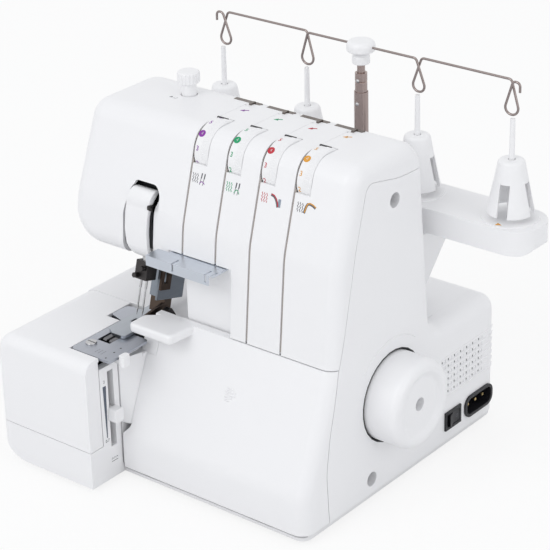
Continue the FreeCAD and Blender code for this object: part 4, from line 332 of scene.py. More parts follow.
coneLook = {
    "pins": [-212.4, -132.6, -33.4, 46.4], "setback": 180.0, "foot": 197.5, "top": 240.7, "rise": 3.8,
    "slotTop": 224.5, "slotReach": 0.8, "slotRise": 4.0, "turn": -20.0, "bore": 6.0,
    "topWide": 0.87, "footMore": 0.1,
}


# The holders drawn in a little and turned, with their legs clear of the tray.
def slimCones(work):
    look = coneLook
    tall = look["top"] - look["foot"]
    turn = Matrix.Rotation(math.radians(look["turn"]), 3, "Z")
    for corner in work.verts:
        height = measured(corner.co)[2]
        share = (look["top"] - height) / tall
        middles = [spot(pin, look["setback"], height) for pin in look["pins"]]
        middle = min(middles, key=lambda pin: (pin - corner.co).length)
        out = turn @ (corner.co - middle)
        if out.length > look["bore"] * mm:
            out = out * (look["topWide"] + look["footMore"] * share)
        corner.co = middle + out
        corner.co.z += look["rise"] * share * mm
        if abs(height - look["slotTop"]) < look["slotReach"]:
            corner.co.z += look["slotRise"] * mm


recessLook = {
    "left": -202.0, "right": -169.0, "top": 213.5, "foot": 150.0, "margin": 0.2,
    "deepest": 61.0, "fade": 5.0, "wall": 1.5, "beside": -206.0, "outside": -20.0, "lowest": 152.3,
    "leftShift": [
        (150, 3.0), (156, 5.0), (168, 6.5), (178, 5.5), (188, 6.2), (202, 9.5), (210, 12.0), (213, 9.4),
    ],
    "rightShift": [
        (150, 12.0), (160, 12.0), (170, 10.8), (180, 8.8), (190, 6.8), (200, 5.6), (210, 4.9), (213, 5.9),
    ],
    "innerShare": [(195, 0.0), (207, 1.0)],
}


# How far back the head's front skin lies at a height.
def headSkin(height):
    look = recessLook
    start = spot(look["beside"], look["outside"], max(height, look["lowest"]))
    found = surfaceOf("upper_cover").ray_cast(start, toRear)
    return measured(found[0])[1]


# The head's recess drawn in on the left, with its right wall flared towards the front.
def flareRecess(work):
    look = recessLook
    for corner in work.verts:
        across, along, height = measured(corner.co)
        between = look["left"] - look["margin"] < across < look["right"] + look["margin"]
        if not between or not look["foot"] < height < look["top"] or along > look["deepest"]:
            continue
        onLeft = across < (look["left"] + look["right"]) / 2
        shift = valueAt(look["leftShift" if onLeft else "rightShift"], height)
        if not onLeft and along > headSkin(height) + look["wall"]:
            shift = shift * valueAt(look["innerShare"], height)
        corner.co.x += shift * min(1.0, (look["deepest"] - along) / look["fade"]) * mm


shieldLook = {
    "left": -198.0, "right": -173.0, "onEdge": 0.1, "proud": 0.7, "thick": 2.6, "frontDeep": 1.5,
    "fillWithin": 10.0, "fillDeep": 1.0,
    "leftEdge": [
        (150, -186.0), (158, -189.2), (166, -192.0), (176, -193.4), (190, -193.3), (201, -192.2),
        (208, -189.0),
    ],
    "rightEdge": [
        (150, -171.6), (167, -172.0), (177, -172.6), (188, -172.2), (198, -171.0), (208, -168.5),
    ],
    "settle": [(195, 1.0), (206, 0.0)],
}


# The lever's shield set level with the head and given its curved sides.
def settleShield(work):
    look = shieldLook
    for corner in work.verts:
        across, along, height = measured(corner.co)
        skin = headSkin(height)
        onLeft = abs(across - look["left"]) < look["onEdge"]
        if not onLeft and abs(across - look["right"]) > look["onEdge"]:
            if along < skin + look["fillWithin"]:
                corner.co = spot(across, skin + look["fillDeep"], height)
            continue
        front = along < skin + look["frontDeep"]
        level = skin - look["proud"] if front else skin + look["thick"]
        settled = along + (level - along) * valueAt(look["settle"], height)
        corner.co = spot(valueAt(look["leftEdge" if onLeft else "rightEdge"], height), settled, height)


refits = {"cone_holders": slimCones, "upper_cover": flareRecess, "take_up_cover": settleShield}
dressLook = {"merge": 0.002, "flat": 0.1, "crease": 32.0, "segments": 2}
edgeOf = {
    "upper_cover": 0.14, "rear_cover": 0.14, "right_cover": 0.14, "bed_cover": 0.14, "left_base": 0.3,
    "cloth_plate": 0.3, "looper_cover": 0.2, "take_up_cover": 0.25, "handwheel": 0.4, "spool_stand": 0.4,
    "cone_holders": 0.3, "spool_pins": 0.2, "pressure_knob": 0.2, "base_pan": 0.3, "mast_cap": 0.3,
    "differential_slider": 0.2, "stitch_finger_lever": 0.15, "needle_plate": 0.1, "presser_foot": 0.1,
    "switch_frame": 0.15, "switch_rocker": 0.15, "inlet_socket": 0.2, "rubber_feet": 0.2,
}


# A finished bmesh as an object of the scene.
def placed(name, work):
    mesh = bpy.data.meshes.new(name)
    work.to_mesh(mesh)
    work.free()
    piece = bpy.data.objects.new(name, mesh)
    bpy.context.scene.collection.objects.link(piece)
    return piece


# The node's shape again with merged corners, smooth faces, crisp creases and softened edges.
def dress(name):
    look = dressLook
    creaseAngle = math.radians(look["crease"])
    work = bmesh.new()
    work.from_mesh(nodes[name].data)
    bmesh.ops.remove_doubles(work, verts=work.verts, dist=look["merge"] * mm)
    if name in refits:
        refits[name](work)
    flatAngle = math.radians(look["flat"])
    bmesh.ops.dissolve_limit(work, angle_limit=flatAngle, verts=work.verts, edges=work.edges)
    for face in work.faces:
        face.smooth = True
    for line in work.edges:
        line.smooth = line.is_manifold and line.calc_face_angle(0.0) < creaseAngle
    piece = placed("dressed_" + name, work)
    mesh = piece.data
    if "custom_normal" in mesh.attributes:
        mesh.attributes.remove(mesh.attributes["custom_normal"])
    mesh.materials.append(finishes[finishOf.get(name, slotOf[name])])
    if name in edgeOf:
        soft = piece.modifiers.new("soft_edge", "BEVEL")
        soft.width = edgeOf[name] * mm
        soft.segments = look["segments"]
        soft.limit_method = "ANGLE"
        soft.angle_limit = creaseAngle
        soft.harden_normals = True
        soft.use_clamp_overlap = True
    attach(piece, nodes[name]["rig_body"])
    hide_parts(name)


def dressAll():
    for name in nodes:
        dress(name)
    print("nodes dressed", len(nodes))


# A piece of the scene's own, with its finish, attached to a body.
def newPiece(name, work, finish, body="machine"):
    piece = placed(name, work)
    piece.data.materials.append(finishes[finish])
    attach(piece, body)
    finish if finish in slotOf.values() else markSlot


# Draws an edge out and gives its new corners.
def drawnOut(work, line):
    grown = bmesh.ops.extrude_edge_only(work, edges=[line])["geom"]
    return [item for item in grown if isinstance(item, bmesh.types.BMVert)]


# A flat stroke drawn out along a line of points, in millimetres on the mark's own plane.
def stroke(work, points, width):
    points = [Vector(point).to_3d() for point in points]
    sides = []
    for index in range(len(points)):
        along = points[min(index + 1, len(points) - 1)] - points[max(index - 1, 0)]
        sides.append(Vector((-along.y, along.x, 0.0)).normalized() * width / 2)
    left = work.verts.new(points[0] + sides[0])
    right = work.verts.new(points[0] - sides[0])
    line = work.edges.new((left, right))
    for point, side in zip(points[1:], sides[1:]):
        left, right = sorted(drawnOut(work, line), key=lambda end: (end.co - left.co).length)
        left.co = point + side
        right.co = point - side
        line = work.edges.get((left, right))


def patch(work, points):
    work.faces.new([work.verts.new(Vector(point).to_3d()) for point in points])


def disc(work, middle, radius, sides=28):
    place = Matrix.Translation(Vector(middle).to_3d())
    bmesh.ops.create_circle(work, cap_ends=True, radius=radius, segments=sides, matrix=place)


# Adds a curve or a figure to a piece as a mesh.
def addCurve(work, curve):
    holder = bpy.data.objects.new("line", curve)
    bpy.context.scene.collection.objects.link(holder)
    bpy.context.view_layer.update()
    mesh = bpy.data.meshes.new_from_object(holder.evaluated_get(bpy.context.evaluated_depsgraph_get()))
    bpy.data.objects.remove(holder)
    bpy.data.curves.remove(curve)
    work.from_mesh(mesh)
    bpy.data.meshes.remove(mesh)


# A figure on the mark's own plane, its strokes swollen or thinned by a share of its size.
def figure(work, word, size, swell=0.012):
    curve = bpy.data.curves.new("figure", "FONT")
    curve.body = word
    curve.size = size
    curve.align_x = "CENTER"
    curve.align_y = "CENTER"
    curve.resolution_u = 3
    curve.offset = swell * size
    addCurve(work, curve)


pressLook = {"outside": 12.0, "lift": 0.04}


# Stands the mark's plane in the machine and presses it on to a surface.
def press(work, onto, middle, across, above, lift=pressLook["lift"]):
    bmesh.ops.subdivide_edges(work, edges=work.edges, cuts=1)
    inward = above.cross(across)
    surface = surfaceOf(onto)
    for corner in work.verts:
        place = spot(*middle) + (across * corner.co.x + above * corner.co.y) * mm
        found = surface.ray_cast(place - inward * pressLook["outside"] * mm, inward)
        corner.co = found[0] - inward * lift * mm if found[0] else place


# A round bar with tapered ends along a line of points.
def tube(work, points, radius, tip=0.35):
    curve = bpy.data.curves.new("bar", "CURVE")
    curve.dimensions = "3D"
    curve.bevel_depth = radius * mm
    curve.bevel_resolution = 2
    curve.use_fill_caps = True
    line = curve.splines.new("POLY")
    line.points.add(len(points) - 1)
    for target, point in zip(line.points, points):
        target.co = (*spot(*point), 1.0)
    for end in (0, -1):
        line.points[end].radius = tip
    addCurve(work, curve)
    for face in work.faces:
        face.smooth = True


def soften(work, lines, width, segments):
    bmesh.ops.bevel(
        work, geom=lines, offset=width * mm, affect="EDGES", segments=segments, profile=0.5, material=-1,
    )


# A bar with softened edges between two corners.
def box(work, low, high, soft=0.25):
    low, high = spot(*low), spot(*high)
    made = bmesh.ops.create_cube(work, size=1.0)["verts"]
    bmesh.ops.scale(work, verts=made, vec=high - low)
    bmesh.ops.translate(work, verts=made, vec=(low + high) / 2)
    lines = list({line for corner in made for line in corner.link_edges})
    soften(work, lines, soft, 2)


# A turned shape: an outline of reach and height spun about an axis through a place.
def turned(work, outline, place, axis, steps=28, merge=0.005):
    side = axis.orthogonal().normalized()
    corners = [work.verts.new(place + (side * reach + axis * height) * mm) for reach, height in outline]
    lines = [work.edges.new(pair) for pair in zip(corners, corners[1:])]
    bmesh.ops.spin(
        work, geom=corners + lines, cent=place, axis=axis, angle=math.tau, steps=steps, use_merge=True,
    )
    bmesh.ops.remove_doubles(work, verts=work.verts, dist=merge * mm)
    bmesh.ops.recalc_face_normals(work, faces=work.faces)
    for face in work.faces:
        face.smooth = True


# A band of one width across the machine, drawn out along a line of points.
def band(work, points, width):
    half = Vector((width / 2 * mm, 0.0, 0.0))
    first = spot(*points[0])
    line = work.edges.new((work.verts.new(first - half), work.verts.new(first + half)))
    for before, after in zip(points, points[1:]):
        ends = drawnOut(work, line)
        bmesh.ops.translate(work, verts=ends, vec=spot(*after) - spot(*before))
        line = work.edges.get(ends)
    bmesh.ops.recalc_face_normals(work, faces=work.faces)


def bandPiece(name, points, width, finish):
    work = bmesh.new()
    band(work, points, width)
    newPiece(name, work, finish)


# Where a ray from outside meets a cover, sunk in by a depth.
def sunk(across, outside, towards, depth, onto="upper_cover"):
    towards = Vector((0.0, *towards)).normalized()
    found = surfaceOf(onto).ray_cast(spot(across, *outside), towards)
    return measured(found[0] + towards * depth * mm)[1:]


dialLook = {
    "colours": ["ink_orange", "ink_red", "ink_green", "ink_purple"],
    "slot": 47.15, "pitch": 30.4, "setback": 78.9, "height": 239.7, "radius": 21.4,
    "values": 10, "first": 163.0, "step": 30.0, "set": 4, "turned": [-7.9, -4.6, -6.5, 0.0],
    "fromEdge": 2.7, "figureSize": 5.0, "lift": 0.05,
    "badge": 2.75, "badgeFigure": 3.5, "badgeSwell": -0.016, "badgeLift": 0.1,
    "ribs": 112, "ribMiddle": 8.8, "ribLong": 6.4, "ribWide": 0.6, "ribTall": 0.6, "ribSoft": 0.15,
}
dials = range(len(dialLook["colours"]))


# Wraps a flat mark round a dial: across its width and up along its rim.
def wrap(work, number, angle, lift):
    look = dialLook
    reach = look["radius"] + lift
    leftEdge = -look["slot"] - look["pitch"] * number
    for corner in work.verts:
        turn = math.radians(angle + look["turned"][number]) - corner.co.y / look["radius"]
        corner.co = spot(
            leftEdge + look["fromEdge"] + corner.co.x,
            look["setback"] - math.sin(turn) * reach, look["height"] + math.cos(turn) * reach,
        )


# The dial's figures, the set one white on a coloured badge.
def dialMarks(number):
    look = dialLook
    body = f"dial_{number + 1}"
    colour = look["colours"][number]
    for value in range(look["values"]):
        angle = look["first"] - look["step"] * value
        work = bmesh.new()
        if value == look["set"]:
            disc(work, (0.0, 0.0), look["badge"])
            bmesh.ops.poke(work, faces=work.faces)
            bmesh.ops.subdivide_edges(work, edges=work.edges, cuts=3)
            wrap(work, number, angle, look["lift"])
            newPiece(f"{body}_badge", work, colour, body)
            work = bmesh.new()
            figure(work, str(value), look["badgeFigure"], look["badgeSwell"])
            wrap(work, number, angle, look["badgeLift"])
            newPiece(f"{body}_figure_{value}", work, "ink_white", body)
        else:
            figure(work, str(value), look["figureSize"])
            wrap(work, number, angle, look["lift"])
            newPiece(f"{body}_figure_{value}", work, colour, body)


# Fine grip ribs across the right part of a dial: one bar, spun round it.
def dialRibs(number):
    look = dialLook
    body = f"dial_{number + 1}"
    across = -look["slot"] - look["pitch"] * number + look["ribMiddle"]
    axle = spot(across, look["setback"], look["height"])
    work = bmesh.new()
    bmesh.ops.create_cube(work, size=mm)
    bmesh.ops.scale(work, verts=work.verts, vec=(look["ribLong"], look["ribWide"], look["ribTall"]))
    soften(work, work.edges, look["ribSoft"], 1)
    bmesh.ops.translate(work, verts=work.verts, vec=axle + upward * look["radius"] * mm)
    share = math.tau / look["ribs"]
    bmesh.ops.spin(
        work, geom=work.verts[:] + work.edges[:] + work.faces[:], cent=axle, axis=toRight,
        angle=math.tau - share, steps=look["ribs"] - 1, use_duplicate=True,
    )
    newPiece(f"{body}_ribs", work, "white_trim", body)


pathLook = {
    "waves": [(-134.0, 53.3, 226.0), (-103.4, 53.6, 226.6), (-72.0, 53.4, 226.6), (-41.0, 53.5, 227.0)],
    "signs": [(-127.6, 53.4, 226.2), (-96.4, 53.6, 226.6), (-62.4, 53.6, 226.8), (-32.6, 53.9, 227.6)],
    "colours": ["ink_purple", "ink_green", "ink_red", "ink_orange"], "greyWaves": (0, 3),
    "slope": Vector((0.0, 0.28, 0.96)), "over": 0.07,
    "columns": 3, "columnStep": 2.0, "rows": 3, "rowStep": 2.3, "rowLong": 2.0, "swing": 0.5, "thick": 0.5,
    "waveSteps": 6,
}


def wave(middle, height):
    look = pathLook
    points = []
    for step in range(look["waveSteps"] + 1):
        share = step / look["waveSteps"]
        across = middle + math.sin(share * math.tau) * look["swing"]
        points.append((across, height + (share - 0.5) * look["rowLong"]))
    return points


# Lays a mark on the cover under a dial's window.
def layPath(work, name, number, finish, kind="signs", lift=pressLook["lift"]):
    press(work, "upper_cover", pathLook[kind][number], toRight, pathLook["slope"], lift)
    newPiece(f"path_{name}_{number + 1}", work, finish)


# A mark drawn with strokes, each a line of points and its thickness.
def drawPath(name, number, finish, strokes, kind="signs", lift=pressLook["lift"]):
    work = bmesh.new()
    for points, thick in strokes:
        stroke(work, points, thick)
    layPath(work, name, number, finish, kind, lift)


# Wavy thread columns and a plain needle or looper sign under each dial window.
def pathSigns():
    look = pathLook
    for number, colour in enumerate(look["colours"]):
        strokes = []
        for column in range(look["columns"]):
            middle = (column - (look["columns"] - 1) / 2) * look["columnStep"]
            for row in range(look["rows"]):
                height = (row - (look["rows"] - 1) / 2) * look["rowStep"]
                strokes.append((wave(middle, height), look["thick"]))
        waveInk = "ink_grey" if number in look["greyWaves"] else colour
        drawPath("waves", number, waveInk, strokes, "waves")
        if number in looperLook["hooks"]:
            looperSign(number, colour)
        else:
            needleSign(number, colour)


needleLook = {
    "sides": (-1.2, 1.4), "point": (-0.7, -4.4), "shoulder": (0.1, 0.4), "top": (0.5, 4.2), "thin": 0.5,
    "thick": 1.0, "bowStart": (-2.2, -3.4), "bowStep": 0.45, "bowSteps": 10, "bowTall": 1.6, "bowThick": 0.6,
}


# A pair of needles with a coloured thread bowed across them.
def needleSign(number, colour):
    look = needleLook
    strokes = []
    for side in look["sides"]:
        point, shoulder, top = [(side + look[key][0], look[key][1]) for key in ("point", "shoulder", "top")]
        strokes += [([point, top], look["thin"]), ([shoulder, top], look["thick"])]
    drawPath("needles", number, "ink_grey", strokes)
    left, low = look["bowStart"]
    tall = look["bowTall"] + number
    bow = []
    for step in range(look["bowSteps"] + 1):
        bow.append((left + step * look["bowStep"], low + math.sin(step / look["bowSteps"] * math.pi) * tall))
    drawPath("thread", number, colour, [(bow, look["bowThick"])], lift=pathLook["over"])


looperLook = {
    "hooks": {
        2: [(-4.2, 3.0), (-1.6, 2.4), (0.4, 0.6), (1.8, -2.0), (2.6, -4.6)],
        3: [(-4.6, -4.0), (-3.6, 0.6), (-2.6, 2.6), (-0.6, 3.2), (2.0, 2.6), (4.4, 1.4)],
    },
    "thick": 2.0, "threadThick": 0.8, "threadAside": 0.3, "threadAbove": 0.5,
    "holders": {2: [(2.2, -4.4), (4.9, -4.4), (4.9, 1.4), (2.6, 1.4)]}, "under": 0.03,
}


# A looper with a coloured thread along it, and a holder beside one of them.
def looperSign(number, colour):
    look = looperLook
    hook = look["hooks"][number]
    drawPath("looper", number, "ink_grey", [(hook, look["thick"])])
    thread = [(across + look["threadAside"], height + look["threadAbove"]) for across, height in hook]
    drawPath("thread", number, colour, [(thread, look["threadThick"])], lift=pathLook["over"])
    if number in look["holders"]:
        work = bmesh.new()
        patch(work, look["holders"][number])
        layPath(work, "holder", number, "ink_steel", lift=look["under"])


topLook = {
    "arrows": [(-132.2, 107.4), (-101.6, 107.4), (-71.3, 107.8), (-42.0, 109.2)], "top": 259.6,
    "shaft": [(2.6, 1.5), (0.6, 0.4), (-0.6, -0.4)], "shaftThick": 1.3,
    "head": [(0.9, -2.0), (-0.9, 1.5), (-3.2, -2.0)],
    "knobSign": (-191.6, 97.6), "wedge": [(-3.2, -0.6), (-0.4, -0.6), (-1.6, 2.0)],
    "angle": [(0.6, -0.5), (3.2, -0.5), (3.2, 1.4)], "angleThick": 0.5,
}


# Thread arrows behind the slots and the sign beside the pressure knob.
def topSigns():
    look = topLook
    for number, (across, along) in enumerate(look["arrows"]):
        work = bmesh.new()
        stroke(work, look["shaft"], look["shaftThick"])
        patch(work, look["head"])
        press(work, "upper_cover", (across, along, look["top"]), toRight, toRear)
        newPiece(f"thread_arrow_{number + 1}", work, pathLook["colours"][number])
    work = bmesh.new()
    patch(work, look["wedge"])
    stroke(work, look["angle"], look["angleThick"])
    press(work, "upper_cover", (*look["knobSign"], look["top"]), toRight, toRear)
    newPiece("pressure_sign", work, "ink_grey")


scaleLook = {
    "face": -170.0, "line": -14.7, "top": 77.5, "foot": 35.0, "topWide": (-1.8, 1.7), "footWide": (-0.4, 0.5),
    "figures": [("2", 81.0), ("1", 57.5), ("0.7", 32.6)], "figureSize": 3.4,
    "sign": (-8.3, 15.1), "teeth": 7, "toothStep": 1.1, "toothTall": 1.5, "toothStart": -3.3,
    "bar": [(-3.4, -1.6), (3.4, -1.6)], "thick": 0.5,
}


# The feed adjuster's tapering scale with its figures, and a feed sign under it.
def feedScale():
    look = scaleLook
    work = bmesh.new()
    long = look["top"] - look["foot"]
    (topLeft, topRight), (footLeft, footRight) = look["topWide"], look["footWide"]
    patch(work, [(topLeft, long), (footLeft, 0.0), (footRight, 0.0), (topRight, long)])
    press(work, "left_base", (look["face"], look["line"], look["foot"]), toRear, upward)
    newPiece("feed_scale", work, "ink_slate")
    for number, (word, height) in enumerate(look["figures"]):
        work = bmesh.new()
        figure(work, word, look["figureSize"])
        press(work, "left_base", (look["face"], look["line"], height), toRear, upward)
        newPiece(f"feed_figure_{number + 1}", work, "ink_grey")
    work = bmesh.new()
    teeth = []
    for step in range(look["teeth"]):
        teeth.append((step * look["toothStep"] + look["toothStart"], (step % 2) * look["toothTall"]))
    stroke(work, teeth, look["thick"])
    stroke(work, look["bar"], look["thick"])
    press(work, "left_base", (look["face"], *look["sign"]), toRear, upward)
    newPiece("feed_sign", work, "ink_grey")


doorLook = {"bandTop": 33.0, "lean": 36.0 / 86.0}


# How far back the door's face lies at a height.
def doorFace(height):
    return (height - doorLook["bandTop"]) * doorLook["lean"]


gripLook = {
    "spans": [(-86.3, -81.3), (-86.3, -79.3), (-85.9, -76.9), (-86.3, -76.9), (-85.7, -80.1)],
    "low": 79.2, "step": 2.05, "end": 0.7, "radius": 0.62, "proud": 0.05,
}


# Short ridges on the door for a finger to push against, longest in the middle.
def doorGrip():
    look = gripLook
    work = bmesh.new()
    for number, (left, right) in enumerate(look["spans"]):
        height = look["low"] + look["step"] * number
        along = doorFace(height) - look["proud"]
        places = (left, left + look["end"], right - look["end"], right)
        tube(work, [(across, along, height) for across in places], look["radius"])
    newPiece("door_grip", work, "white_shell", "front_door")


ventLook = {
    "first": 164.2, "late": 172.4, "lateRows": 4, "rear": 236.6, "low": 42.5, "step": 5.35, "rows": 7,
    "steps": 40, "radius": 0.8, "deep": -14.0, "slotDeep": 1.5, "outside": 12.0,
}


# Raised lines between the rows of vents, run on round the rear edge.
def ventLines():
    look = ventLook
    surface = surfaceOf("right_cover")
    work = bmesh.new()
    for row in range(look["rows"]):
        height = look["low"] + look["step"] * row
        start = look["late"] if row < look["lateRows"] else look["first"]
        places = []
        for along in spread(start, look["rear"], look["steps"]):
            found = surface.ray_cast(spot(look["outside"], along, height), -toRight)
            places.append((measured(found[0])[0] if found[0] else look["deep"], along))
        line = []
        for index, (across, along) in enumerate(places):
            near = max(place[0] for place in places[max(0, index - 1):index + 2])
            line.append((near if across < near - look["slotDeep"] else across, along, height))
        tube(work, line, look["radius"])
    newPiece("vent_lines", work, "white_shell")


wheelLook = {
    "setback": 103.4, "height": 73.6,
    "arcReach": 45.0, "arcStart": 50.0, "arcEnd": 140.0, "arcSteps": 60, "arcRadius": 0.55,
    "shadeRing": [
        (33.85, -1.4), (34.4, -1.4), (34.45, 0.06), (35.5, 0.06), (35.5, -0.3), (34.8, -0.5), (34.6, -2.0),
        (33.85, -2.0), (33.85, -1.4),
    ],
}


# A fine raised arc over the handwheel.
def wheelArc():
    look = wheelLook
    work = bmesh.new()
    points = []
    for angle in spread(look["arcStart"], look["arcEnd"], look["arcSteps"]):
        angle = math.radians(angle)
        along = look["setback"] + math.cos(angle) * look["arcReach"]
        points.append((0.0, along, look["height"] + math.sin(angle) * look["arcReach"]))
    tube(work, points, look["arcRadius"])
    newPiece("wheel_arc", work, "white_shell")


# A black ring of painted shade round the handwheel's opening, for the shadow gap there.
def wheelGasket():
    look = wheelLook
    work = bmesh.new()
    turned(work, look["shadeRing"], spot(0.0, look["setback"], look["height"]), toRight)
    newPiece("wheel_painted_shade", work, "ink_black")


buttonLook = {
    "across": -83.0, "setback": 180.0,
    "rows": [("mast_lower", 4.5, 271.5, "mast_middle"), ("mast_upper", 5.2, 254.0, "machine")],
    "outline": [(0.0, 1.0), (0.5, 0.95), (0.9, 0.7), (1.05, 0.3), (1.4, 0.2), (1.45, -0.6)],
}


# Spring buttons that hold the mast's stages, each domed and seated in a ring.
def mastButtons():
    look = buttonLook
    for name, reach, height, body in look["rows"]:
        work = bmesh.new()
        place = spot(look["across"], look["setback"] - reach, height)
        turned(work, look["outline"], place, -toRear)
        newPiece(name + "_button", work, "bright_steel", body)


plateLook = {
    "top": 102.0, "holes": [(-167.1, -5.2), (-167.6, 2.4), (-166.2, -15.0)], "holeRadius": 0.75,
    "holeSides": 16, "lines": [-176.0, -179.0, -173.0], "lineSetback": -10.0, "lineHalf": 3.0,
    "lineThick": 0.35,
}


# Small holes in the sewing plate, drawn as black discs of painted shade, and cutting-width lines.
def plateMarks():
    look = plateLook
    work = bmesh.new()
    firstAcross, firstAlong = look["holes"][0]
    for across, along in look["holes"]:
        middle = (across - firstAcross, along - firstAlong)
        disc(work, middle, look["holeRadius"], look["holeSides"])
    press(work, "needle_plate", (firstAcross, firstAlong, look["top"]), toRight, toRear)
    newPiece("plate_holes", work, "ink_black")
    work = bmesh.new()
    firstLine = look["lines"][0]
    for across in look["lines"]:
        aside = across - firstLine
        stroke(work, [(aside, -look["lineHalf"]), (aside, look["lineHalf"])], look["lineThick"])
    press(work, "needle_plate", (firstLine, look["lineSetback"], look["top"]), toRight, toRear)
    newPiece("plate_lines", work, "ink_grey")


switchLook = {
    "signs": {"I": -4.6, "O": 4.6}, "face": 3.0, "setback": 179.7, "height": 20.6, "size": 3.6, "lift": 0.05,
}


# On and off signs on the rocker.
def switchSigns():
    look = switchLook
    for word, aside in look["signs"].items():
        work = bmesh.new()
        figure(work, word, look["size"])
        place = (look["face"], look["setback"] + aside, look["height"])
        press(work, "switch_rocker", place, toRear, upward, look["lift"])
        newPiece(f"switch_sign_{word}", work, "ink_grey", nodes["switch_rocker"]["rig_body"])


slitShadeLook = {"first": -48.2, "width": 9.8, "front": 85.0, "rear": 86.5, "low": 259.2, "high": 260.72}


# A black bar of painted shade fills the gap behind each dial.
def dialStrips():
    look = slitShadeLook
    for number in dials:
        work = bmesh.new()
        start = look["first"] - dialLook["pitch"] * number
        high = (start + look["width"], look["rear"], look["high"])
        box(work, (start, look["front"], look["low"]), high)
        newPiece(f"dial_slit_shade_{number + 1}", work, "ink_black")


slotShadeAndFillerLook = {
    "first": -47.6, "beside": -2.4, "width": 1.7, "depth": 1.0, "lows": [121.0, 121.0, 171.0, 171.0],
    "high": 239.0, "slotSteps": 40, "outside": -20.0,
    "gapMiddle": -47.85, "gapWidth": 1.2, "reach": 60.0, "turns": [90.0, -18.0], "turnSteps": 24,
    "slotFront": 87.2, "slotRear": 116.0, "topDepth": 0.12, "above": 300.0,
    "wedgeTurn": 101.0, "wedgeAside": 0.1, "wedgeWide": 1.3, "wedgeTall": 5.2, "wedgeLift": 0.12,
}


# Painted shade in the thread slots, beside the dials and at each window's lower corner, and a pale filler in
# the slots' rear ends.
def slotLinings():
    for number in dials:
        slotFelt(number)
        dialFelt(number)
        slotFiller(number)
        dialWedge(number)


def slotMiddle(number):
    return slotShadeAndFillerLook["first"] - dialLook["pitch"] * number


# A brown-grey band sunk in each thread slot: painted shade for the slot's dark inside.
def slotFelt(number):
    look = slotShadeAndFillerLook
    middle = slotMiddle(number)
    points = []
    for height in spread(look["lows"][number], look["high"], look["slotSteps"]):
        place = sunk(middle + look["beside"], (look["outside"], height), (1.0, 0.0), look["depth"])
        points.append((middle, *place))
    bandPiece(f"slot_felt_{number + 1}", points, look["width"], "slot_felt")


# A dark band in the gap beside each dial: painted shade for the shadow line along the dial's side.
def dialFelt(number):
    look = slotShadeAndFillerLook
    beside = slotMiddle(number) + look["beside"]
    sideways = look["gapMiddle"] - dialLook["pitch"] * number
    axle = Vector((dialLook["setback"], dialLook["height"]))
    points = []
    for turn in spread(*look["turns"], look["turnSteps"]):
        turn = math.radians(turn)
        outward = Vector((-math.sin(turn), math.cos(turn)))
        points.append((sideways, *sunk(beside, axle + outward * look["reach"], -outward, look["depth"])))
    bandPiece(f"dial_felt_{number + 1}", points, look["gapWidth"], "dial_felt")


def slotFiller(number):
    look = slotShadeAndFillerLook
    middle = slotMiddle(number)
    points = []
    for along in (look["slotFront"], look["slotRear"]):
        place = sunk(middle + look["beside"], (along, look["above"]), (0.0, -1.0), look["topDepth"])
        points.append((middle, *place))
    bandPiece(f"slot_filler_{number + 1}", points, look["width"], "white_shell")


# A black wedge wrapped on each dial at its window's lower corner: painted shade for the gap there.
def dialWedge(number):
    look = slotShadeAndFillerLook
    start = -dialLook["fromEdge"] - look["wedgeAside"]
    work = bmesh.new()
    patch(work, [(start, 0.0), (start + look["wedgeWide"], 0.0), (start, look["wedgeTall"])])
    bmesh.ops.subdivide_edges(work, edges=work.edges, cuts=2, use_grid_fill=True)
    wrap(work, number, look["wedgeTurn"] - dialLook["turned"][number], look["wedgeLift"])
    newPiece(f"dial_shade_wedge_{number + 1}", work, "ink_black")


tongueLook = {
    "middle": -16.2, "beside": -18.0, "width": 0.5, "depth": 0.1, "axle": (190.0, 60.0), "reach": 90.0,
    "turns": [-18.0, 124.0], "steps": 120,
}


# A pale tongue that closes the joint between the rear cover and the right one.
def seamTongue():
    look = tongueLook
    points = []
    for turn in spread(*look["turns"], look["steps"]):
        turn = math.radians(turn)
        outward = Vector((math.sin(turn), math.cos(turn)))
        outside = Vector(look["axle"]) + outward * look["reach"]
        place = sunk(look["beside"], outside, -outward, look["depth"], "rear_cover")
        points.append((look["middle"], *place))
    bandPiece("seam_tongue", points, look["width"], "white_shell")


cheekLook = {
    "rows": [(-162.97, 0.74, 41.2, 91.4), (-158.0, 8.6, 91.1, 91.5), (-153.7, 0.42, 91.2, 101.3)],
    "depth": 0.3,
}


# Pale tongues in the joints between the door, the cheek beside it and the fixed corner above.
def cheekTongue():
    look = cheekLook
    work = bmesh.new()
    for middle, width, *heights in look["rows"]:
        band(work, [(middle, doorFace(height) + look["depth"], height) for height in heights], width)
    newPiece("cheek_tongue", work, "white_shell")


louvreLook = {
    "setback": 168.0, "height": 45.2, "pitch": 8.0, "rise": 5.35, "long": 5.4, "tall": 2.2, "open": 1.8,
    "rows": 6, "columns": 7, "shortRows": 4, "sunk": 0.35, "shadeSunk": 0.55, "deep": 2.2,
}


# A louvre in each vent, with a black bar of painted shade in the gap at its front end.
def ventLouvres():
    look = louvreLook
    work = bmesh.new()
    shadeBars = bmesh.new()
    for row in range(look["rows"]):
        for column in range(look["columns"]):
            if column == 0 and row < look["shortRows"]:
                continue
            start = look["setback"] + look["pitch"] * column - look["long"] / 2
            gap = start + look["open"]
            foot = look["height"] + look["rise"] * row - look["tall"] / 2
            top = foot + look["tall"]
            box(work, (-look["deep"], gap, foot), (-look["sunk"], start + look["long"], top))
            box(shadeBars, (-look["deep"], start, foot), (-look["shadeSunk"], gap, top))
    newPiece("vent_louvres", work, "white_shell")
    newPiece("vent_shade", shadeBars, "ink_black")


